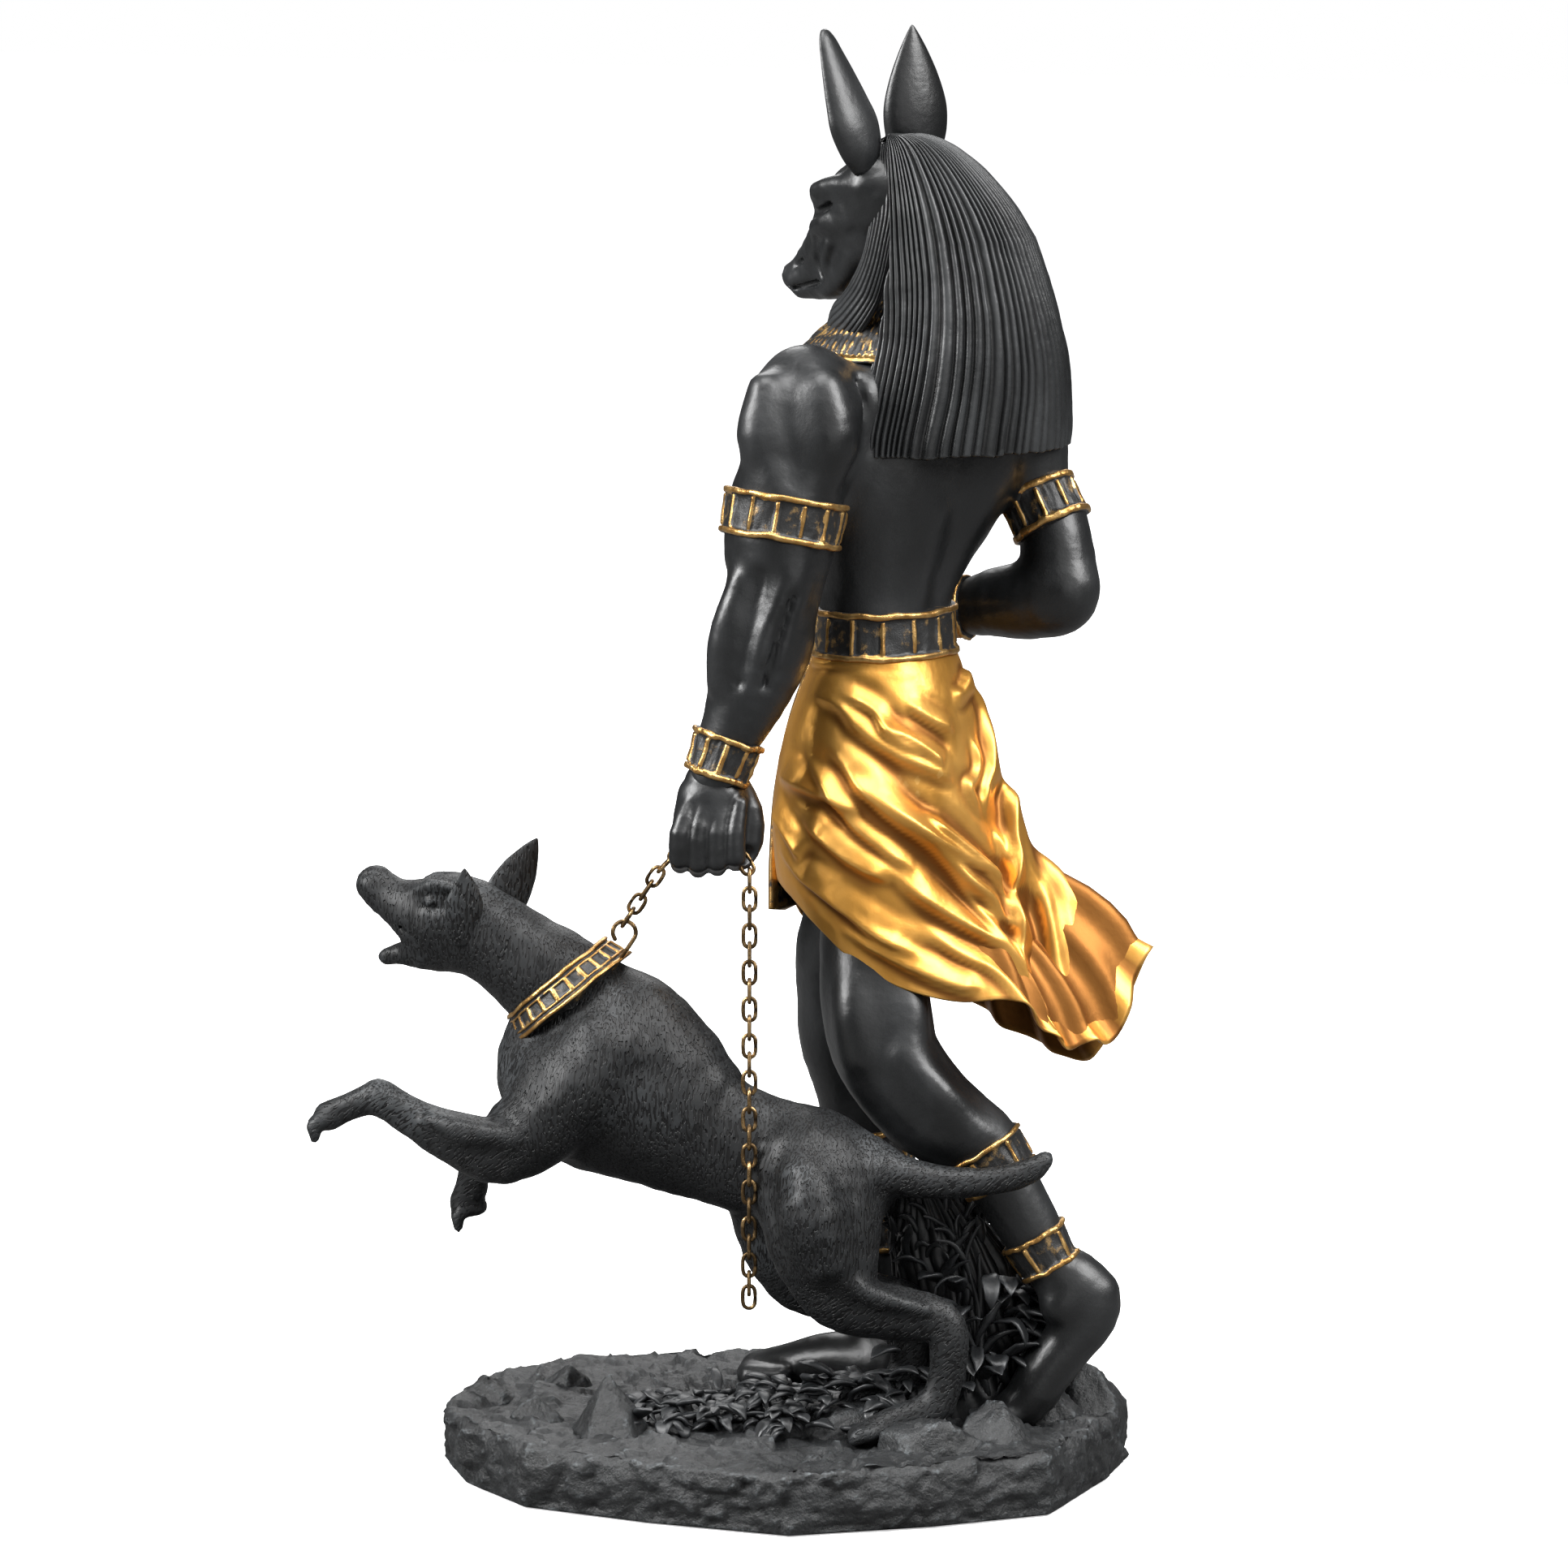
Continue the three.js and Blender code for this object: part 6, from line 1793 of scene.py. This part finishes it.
@dataclass
class Chain:
    """Chain of plain oval links and the bent wire eye that it starts from."""

    links: int = 34
    pitch: float = 3.7
    length: float = 5.4
    width: float = 3.3
    wire: float = 0.8
    eye_centre: tuple[float, float, float] = (-31.9, -18.0, 112.4)
    eye_radius: float = 2.3
    eye_wire: float = 0.9
    spots: Rows = (
        (-32.5, -17.6, 113.4), (-24.6, -22.9, 126), (-22.6, -24.2, 129.4), (-19, -25.3, 129.6),
        (-10, -28, 129.8), (-6.7, -29.2, 129.9), (-6.8, -29.3, 125.6), (-7, -29.5, 39.6),
    )

    def route(self) -> Array:
        """Points down the chain's middle: eye, over into the fist, through it and straight down.

        Three straight runs, a + (b - a) t, joined by two quadratic bends from a to c pulled to b.
        """
        spots = np.array(self.spots, float)
        s = np.linspace(0, 1, 40)[:, None]
        t = np.linspace(0, 1, 80)[:, None]
        runs = [spots[k] + (spots[k + 1] - spots[k]) * s for k in (0, 3, 6)]
        bends = [
            spots[k] * (1 - t) ** 2 + 2 * spots[k + 1] * t * (1 - t) + spots[k + 2] * t**2
            for k in (1, 4)
        ]
        return np.vstack([runs[0], bends[0], runs[1], bends[1], runs[2]])

    def link(self, seed: int) -> Shell:
        """One link along +X: a round wire swept round an oval, with a filed notch in one long side, on
        alternate sides from link to link.
        """
        half = self.length / 2 - self.wire / 2
        wide = self.width / 2 - self.wire / 2
        a = circle(40)
        b = circle(12)
        out = outwards(a)
        long = np.tanh(3 * np.cos(a)) * (half - wide) + np.cos(a) * wide
        centre = np.stack([long, np.sin(a) * wide, 0 * a], -1)
        notch = np.exp(-(((np.cos(a)) / 0.14) ** 2)) * (np.sin(a) * (-1) ** seed > 0)
        rough = noise(np.stack([a * 2, a * 0, a * 0 + seed], -1), 1, seed)[:, None]
        r = self.wire / 2 * (1.04 - 0.16 * notch[:, None] + 0.05 * rough)
        ring = np.cos(b)[None, :, None] * out[:, None] + np.sin(b)[None, :, None] * UP
        points = centre[:, None] + ring * r[..., None]
        return grid_shell(points, None, {"notch": notch[:, None] * np.ones((1, 12))})

    def build(self, bench: Bench) -> list[bpy.types.Object]:
        """Makes every link and the eye."""
        route = self.route()
        reach = np.concatenate([[0], np.cumsum(np.linalg.norm(np.diff(route, axis=0), axis=1))])
        made = []
        for i in range(self.links):
            middle = self.length / 2 + i * self.pitch
            spans = (middle - self.pitch / 2, middle + self.pitch / 2)
            a, b = (np.array([np.interp(s, reach, route[:, k]) for k in range(3)]) for s in spans)
            along = unit(b - a)
            depth = unit(RIGHTWARD - along * (along @ RIGHTWARD))
            flat = depth if i % 2 else np.cross(along, depth)
            shell = self.link(i)
            shell.points = shell.points @ np.stack([along, np.cross(flat, along), flat]) + (a + b) / 2
            link = bench.piece(f"link_{i + 1:02d}", shell.outward(), BRASS)
            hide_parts(f"chain_link_{i + 1:02d}")
            made.append(link)
        turn = np.radians(215 - 28 * np.arange(10))
        cx, cy, cz = self.eye_centre
        r, wire = self.eye_radius, self.eye_wire / 2
        knots = [(cx + r * math.cos(a), cy, cz + r * math.sin(a), wire) for a in turn]
        knots += [(-32, -17, 108, wire), (-35, -15.4, 103.6, wire)]
        eye = tube(spline(knots, 90), 16, RIGHTWARD)
        eye.masks["notch"] = np.zeros(len(eye.points))
        piece = bench.piece("bent_wire_eye", eye, BRASS)
        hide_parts("collar_eye")
        return [*made, piece]


@dataclass
class Ground:
    """Rocky slab with stones."""

    rim: Rows = (
        (-71, 1), (-66, -20), (-53, -41), (-28, -54), (1, -65), (30, -57.5), (54, -47.5), (66.5, -18),
        (71.4, 0), (66, 18), (50, 33), (24, 44), (-12, 47.5), (-44, 44), (-62, 28),
    )
    stones: tuple[tuple[tuple[float, float, float], tuple[float, float, float], float, int], ...] = (
        ((-34.6, -25, 11.5), (9.4, 8, 10), 0.62, 1), ((-50, -14, 12), (5, 4.5, 5), 0.5, 2),
        ((-44.6, 12, 12), (6, 5, 5), 0.5, 3), ((29, -38, 11), (12, 6.5, 7.5), 0.35, 4),
        ((41, -33, 11), (8, 7, 8), 0.4, 5), ((61, -3, 12), (9, 8, 10), 0.45, 6),
        ((54, -14, 12), (6, 6, 5), 0.4, 7), ((4, 16, 9), (20, 10, 5), 0.2, 8),
        ((-8, -22, 10), (17, 9, 4.6), 0.3, 9), ((14, -21, 10), (15, 10, 8), 0.3, 10),
        ((-60, 8, 11), (6, 6, 4), 0.3, 11),
    )

    def outline(self, turn: Array) -> Array:
        """Distance to the rim at each angle, with straight sides between the rim's corners."""
        corners = np.array(self.rim, float)
        angle = np.arctan2(corners[:, 1], corners[:, 0])
        corners, angle = corners[np.argsort(angle)], np.sort(angle)
        x = (turn + np.pi) % (2 * np.pi) - np.pi
        i = np.searchsorted(angle, x, side="right") % len(angle)
        a, b = corners[i - 1], corners[i]
        way = np.stack([np.cos(x), np.sin(x)], -1)
        normal = np.stack([b[..., 1] - a[..., 1], a[..., 0] - b[..., 0]], -1)
        return np.sum(normal * a, -1) / np.sum(normal * way, -1)

    def slab(self) -> Shell:
        """Slab: rings go out under it, up its hewn side and in over the rugged top.

        Side and top move along their normals by coarse and fine hewn planes, and the top edge is
        bitten by noise.
        """
        a = circle(432)
        stops = np.array([
            (0.3, 0, 0), (0.7, 0, 0), (0.94, 0, 0), (0.966, 0, 0), (0.975, 0.15, 0.1), (0.985, 0.6, 0.4),
            *[(0.992 + 0.008 * math.sin(math.pi * k / 14), 1.2 + 0.72 * k, 1) for k in range(15)],
            (0.988, 11.8, 1.0), (0.98, 12.3, 0.9), (0.968, 12.6, 0.7),
            *[(0.955 - 0.9 * (k / 65), 12.7 - 0.3 * math.sin(k / 9), 0.0) for k in range(66)],
        ])
        reach = self.outline(a)
        share = stops[:, 0:1]
        level = stops[:, 1:2] * np.ones((1, len(a)))
        points = np.stack([share * reach * np.cos(a), share * reach * np.sin(a), level], -1)
        side = stops[:, 2:3]
        out = outwards(a)
        chip = 1.1 * facets(points * [1, 1, 0.8], 8, 51) + 0.8 * facets(points * [1, 1, 1.5], 4, 71)
        chip += 0.35 * fbm(points, 1.8, 2, 53)
        bite = 1.6 * smooth(noise(points * [1, 1, 0.2], 4.5, 57), 0.1, 0.8) * smooth(points[..., 2], 7, 12)
        points = points + (side * (np.minimum(chip, 1.0) - 1.0 - bite))[..., None] * out
        top = smooth(np.arange(len(stops)), 19, 27)[:, None]
        flat = points * [1, 1, 0.3]
        rise = 1.7 * facets(flat + 0.8 * fbm(flat, 6, 2, 60)[..., None], 10, 61) + 0.9 * facets(flat, 4.5, 81)
        rise += 0.9 * fbm(flat, 9, 3, 63) + 0.3 * noise(points, 1.2, 64)
        points[..., 2] += top * (np.maximum(rise, -1.6) - 0.3)
        return grid_shell(points, (np.zeros(3), np.array([0, 0, 12.0])))

    def stone(self, spot: tuple[float, ...], half: tuple[float, ...], taper: float, seed: int) -> Shell:
        """Broken stone: reach in a direction is the soft least of many cutting planes' reaches.

        Args:
            spot: Its middle.
            half: Its half sizes before it narrows.
            taper: Share by which it narrows to its top.
            seed: Number that picks its planes.
        """
        rng = np.random.default_rng(seed)
        normals = unit(rng.normal(size=(18, 3)))
        offsets = rng.uniform(0.75, 1.05, 18)
        v = np.linspace(0, np.pi, 32)[1:-1]
        u = circle(48)
        level, height = np.sin(v)[:, None], np.cos(v)[:, None]
        way = np.stack([level * np.cos(u), level * np.sin(u), height * np.ones_like(u)], -1)
        facing = way @ normals.T
        reach = np.where(facing > 0.05, offsets / np.maximum(facing, 0.05), 9.0)
        soft = -np.log(np.sum(np.exp(-34 * reach), -1)) / 34
        points = way * np.minimum(soft, 1.2)[..., None]
        points[..., :2] *= 1 - taper * np.clip(points[..., 2:], 0, 1)
        points = np.array(spot) + points * np.array(half)
        points += (0.5 * facets(points, 3.2, seed + 90) + 0.2 * noise(points, 1.0, seed))[..., None] * way
        ends = (points[0].mean(axis=0), points[-1].mean(axis=0))
        shell = grid_shell(points, ends)
        shell.points[:, 2] = np.maximum(shell.points[:, 2], 2.5)
        return shell

    def build(self, bench: Bench) -> list[bpy.types.Object]:
        """Makes the slab and its stones."""
        stones = joined([self.stone(*entry) for entry in self.stones])
        return [bench.piece("rock_slab", self.slab(), STONE), bench.piece("stones", stones, STONE)]


@dataclass
class Undergrowth:
    """Clump of curling fronds under the trailing leg, and a mound of leaves under the hound."""

    seed: int = 5
    fronds: int = 110
    broad_leaves: int = 64
    low_leaves: int = 190
    thin: float = 0.62
    core: Rows = (
        (37, -8, 10, 14.6), (38, -8, 24, 13.6), (36, -8, 38, 12.4), (31, -8, 50, 9.6), (28.4, -8, 60, 5),
    )

    def leaf(
        self, root: Array, way: Array, size: tuple[float, float], start: float, bend: float,
        body: float = 0.3,
    ) -> Shell:
        """Pointed leaf: lens sections of width sin(pi t)^0.7 along a path that bends in one plane.

        Args:
            root: Where it starts.
            way: Level direction of the plane that it bends in.
            size: Length and half width.
            start: Degrees that it sets out at, up from `way`.
            bend: Degrees that it has turned by at its tip; the turn grows as t^1.6.
            body: Thickness as a share of the width.
        """
        t = np.linspace(0.0, 1.0, 12)
        angle = np.radians(start + bend * t**1.6)
        steps = (np.cos(angle)[:, None] * way + np.sin(angle)[:, None] * UP) * size[0] / 12
        path = np.asarray(root) + np.cumsum(steps, axis=0)
        run, side, third = frames(path, unit(np.cross(UP, way)))
        half = size[1] * np.sin(np.pi * (0.1 + 0.88 * t)) ** 0.7
        a = circle(10)
        vein = 0.3 * np.exp(-((np.cos(a) / 0.3) ** 2)) * np.sin(a)
        thick = (body * half + 0.12)[:, None] * (np.sin(a) - vein)
        fold = 0.25 * half[:, None] * np.abs(np.cos(a)) ** 1.3
        points = swept(path, half[:, None] * np.cos(a), side, thick + fold, third)
        rough, ragged = 0.45 * noise(points, 2.1, 7), 0.3 * noise(points, 1.7, 8)
        points += rough[..., None] * third[:, None] + ragged[..., None] * side[:, None]
        return grid_shell(points, (path[0] - 0.2 * run[0], path[-1] + 0.4 * run[-1]))

    def clump(self) -> Shell:
        """Core wrapped in fronds that set out upwards along it and curl over at their tips."""
        rng = np.random.default_rng(self.seed)
        core = spline(self.core, 60)
        a = circle(264)
        ring = outwards(a) * [1, self.thin, 0]
        rows = core[core[:, 2] < 60]
        places = rows[:, None, :3] + rows[:, None, 3:4] * ring
        phase = 4.6 * a + 1.3 * noise(places, 11, 41) + 0.5 * noise(places, 5, 42)
        flute = 1 - np.abs(2 * (phase - np.floor(phase)) - 1) ** 2 + 0.5 * np.sin(3.1 * phase)
        swell = 1 + (0.8 * flute + 1.1 * fbm(places, 8, 2, 43)) / rows[:, None, 3] * (rows[:, None, 2] > 9)
        places = rows[:, None, :3] + rows[:, None, 3:4] * ring * swell[..., None]
        shells = [grid_shell(places, (rows[0, :3] - 0.5 * UP, rows[-1, :3] + 1.5 * UP))]
        for n in range(self.fronds):
            z = 12 + 46 * ((n + rng.uniform()) / self.fronds) ** 1.1
            turn = -90 + 128 * rng.uniform(-1, 1) if n % 5 else rng.uniform(0, 360)
            out = heading(turn) * [1, self.thin, 0]
            reach = np.interp(z, core[:, 2], core[:, 3])
            root = np.array([np.interp(z, core[:, 2], core[:, 0]), -8, z]) + out * reach * 0.98
            lean = rng.uniform(-1, 1)
            way = unit(heading(turn + 90 * np.sign(lean)) + 0.35 * heading(turn) * rng.uniform(0, 1.6))
            size = (rng.uniform(8, 17) * (1.1 if z < 44 else 0.7), rng.uniform(0.7, 1.2))
            start, bend = rng.uniform(62, 100), -rng.uniform(20, 170) * abs(lean) ** 0.5
            shells.append(self.leaf(root, way, size, start, bend, 0.75))
        return joined(shells)

    def leaves(self) -> Shell:
        """Broad leaves that hang round the clump, and small ones heaped under the hound."""
        rng = np.random.default_rng(self.seed + 1)
        shells = []
        for n in range(self.broad_leaves):
            turn = rng.uniform(-160, 10) if n < 44 else rng.uniform(-60, 0)
            z = rng.uniform(14, 42) if n < 44 else rng.uniform(24, 40)
            spot = heading(turn)
            reach = np.interp(z, [row[2] for row in self.core], [row[3] for row in self.core])
            root = np.array([37, -8, z]) + spot * [1, self.thin, 0] * reach
            way = unit(spot + 0.8 * heading(turn + 90) * rng.uniform(-1, 1))
            size = (rng.uniform(7, 13), rng.uniform(1.5, 2.5))
            start, bend = rng.uniform(0, 60), -rng.uniform(40, 130)
            shells.append(self.leaf(root, way, size, start, bend))
        for _ in range(self.low_leaves):
            x = rng.uniform(-32, 27)
            y = -21 + (6 + 0.12 * (x + 32)) * rng.uniform(-1, 1)
            mound = (2 + 0.13 * (x + 32)) * math.exp(-(((y + 19) / 8) ** 2))
            root = np.array([x, y, 12.4 + mound + 1.4 * rng.uniform()])
            size = (rng.uniform(4, 9), rng.uniform(0.8, 1.9))
            way = heading(rng.uniform(100, 350))
            start, bend = rng.uniform(-5, 40), -rng.uniform(20, 90)
            shells.append(self.leaf(root, way, size, start, bend, 0.4))
        for shell in shells:
            shell.points[:, 2] = np.maximum(shell.points[:, 2], 6)
        return joined(shells)

    def build(self, bench: Bench) -> list[bpy.types.Object]:
        """Makes the fronds and the leaves."""
        return [bench.piece("fronds", self.clump(), LEAF), bench.piece("leaves", self.leaves(), LEAF)]


@dataclass
class Studio:
    """Camera, lights and pale floor."""

    distance: float = 1.5
    aim: float = 0.1397
    rise: float = 8.5
    lens: float = 170.8
    sky: float = 0.09
    boxes: tuple[tuple[str, float, float, float, float, float], ...] = (
        ("left_box", -66, 32, 1.3, 0.65, 34), ("right_box", 66, 38, 1.3, 0.7, 23),
        ("top_box", 10, 74, 1.3, 0.9, 24), ("far_box", 175, 40, 1.5, 0.9, 12),
        ("front_box", 26, 16, 1.2, 1.1, 3.5),
    )

    def aimed(self, name: str, data: bpy.types.ID, place: Vector) -> bpy.types.Object:
        """New object at a place, turned to face the statuette."""
        thing = bpy.data.objects.new(name, data)
        thing.location = place
        thing.rotation_mode = "QUATERNION"
        thing.rotation_quaternion = (Vector((0, 0, self.aim)) - place).to_track_quat("-Z", "Y")
        bpy.context.scene.collection.objects.link(thing)
        return thing

    def camera(self) -> None:
        """Long lens from behind the man's left shoulder, as in the photograph."""
        e = math.radians(self.rise)
        flat = self.distance * math.cos(e)
        x, y = flat * math.sin(STRIDE_TURN), -flat * math.cos(STRIDE_TURN)
        place = Vector((x, y, self.aim + self.distance * math.sin(e)))
        data = bpy.data.cameras.new("camera")
        data.lens = self.lens
        data.sensor_width = 36
        data.clip_start, data.clip_end = 0.05, 20
        bpy.context.scene.camera = self.aimed("camera", data, place)

    def light(
        self, name: str, azimuth: float, elevation: float, reach: float, size: float, power: float,
    ) -> None:
        """Square soft light that faces the statuette.

        Args:
            name: Its name.
            azimuth: Degrees round from the camera's side.
            elevation: Degrees above the floor.
            reach: Metres from the statuette.
            size: Edge of the square.
            power: Watts.
        """
        a, e = STRIDE_TURN + math.radians(azimuth), math.radians(elevation)
        place = Vector((math.sin(a) * math.cos(e), -math.cos(a) * math.cos(e), math.sin(e))) * reach
        place.z += self.aim
        data = bpy.data.lights.new(name, "AREA")
        data.size = size
        data.energy = power
        self.aimed(name, data, place)

    def floor(self) -> bpy.types.Object:
        """Pale floor that the statuette stands on: white to the camera, dim in the paint's gloss."""
        mesh = bpy.data.meshes.new("floor")
        s, z = 5.0, -0.0002
        mesh.from_pydata([(-s, -s, z), (s, -s, z), (s, s, z), (-s, s, z)], [], [(0, 1, 2, 3)])
        material = bpy.data.materials.new("floor")
        material.use_nodes = True
        kit = Nodes(material.node_tree)
        pale = material.node_tree.nodes["Principled BSDF"]
        pale.inputs["Base Color"].default_value = rgba(0.93, 0.93, 0.93)
        pale.inputs["Roughness"].default_value = 0.8
        pale.inputs["Specular IOR Level"].default_value = 0.1
        place = kit.place()
        reach = kit.add("ShaderNodeVectorMath", {0: place}, operation="LENGTH").outputs["Value"]
        far = kit.ramp(reach, 0.12, 0.9)
        kit.feed(pale, "Emission Color", kit.mix(far, rgba(0.5, 0.5, 0.5), rgba(1, 1, 1)))
        pale.inputs["Emission Strength"].default_value = 1.0
        dim = kit.add("ShaderNodeBsdfDiffuse", {"Color": rgba(0.12, 0.12, 0.12)})
        seen = kit.add("ShaderNodeLightPath").outputs["Is Camera Ray"]
        both = kit.add("ShaderNodeMixShader", {0: seen, 1: dim.outputs[0], 2: pale.outputs[0]})
        kit.feed(material.node_tree.nodes["Material Output"], "Surface", both.outputs[0])
        mesh.materials.append(material)
        thing = bpy.data.objects.new("floor", mesh)
        bpy.context.scene.collection.objects.link(thing)
        return thing

    def build(self) -> None:
        """Sets up the world, lights, camera and floor."""
        world = bpy.data.worlds.new("studio")
        world.use_nodes = True
        kit = Nodes(world.node_tree)
        background = world.node_tree.nodes["Background"]
        seen = kit.add("ShaderNodeLightPath").outputs["Is Camera Ray"]
        glow = kit.plus(kit.times(seen, 1 - self.sky), self.sky)
        background.inputs["Color"].default_value = rgba(1, 1, 1)
        kit.feed(background, "Strength", glow)
        bpy.context.scene.world = world
        bpy.context.scene.view_settings.view_transform = "Standard"
        for box in self.boxes:
            self.light(*box)
        self.floor()
        self.camera()


def main() -> None:
    """Builds the statuette piece by piece and its studio."""
    logging.basicConfig(level=logging.INFO, format="%(message)s")
    bench = Bench()
    figure = [
        *Man().build(bench), *JackalHead().build(bench), *Wig().build(bench), *Jewellery().build(bench),
        *Kilt().build(bench),
    ]
    for piece in figure:
        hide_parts("figure")
    for piece in Hound().build(bench):
        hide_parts("hound")
    Chain().build(bench)
    for piece in [*Ground().build(bench), *Undergrowth().build(bench)]:
        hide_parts("base")
    Studio().build()
    bpy.context.view_layer.update()
    LOG.info("%d triangles in all", bench.triangles)


if __name__ == "__main__":
    main()
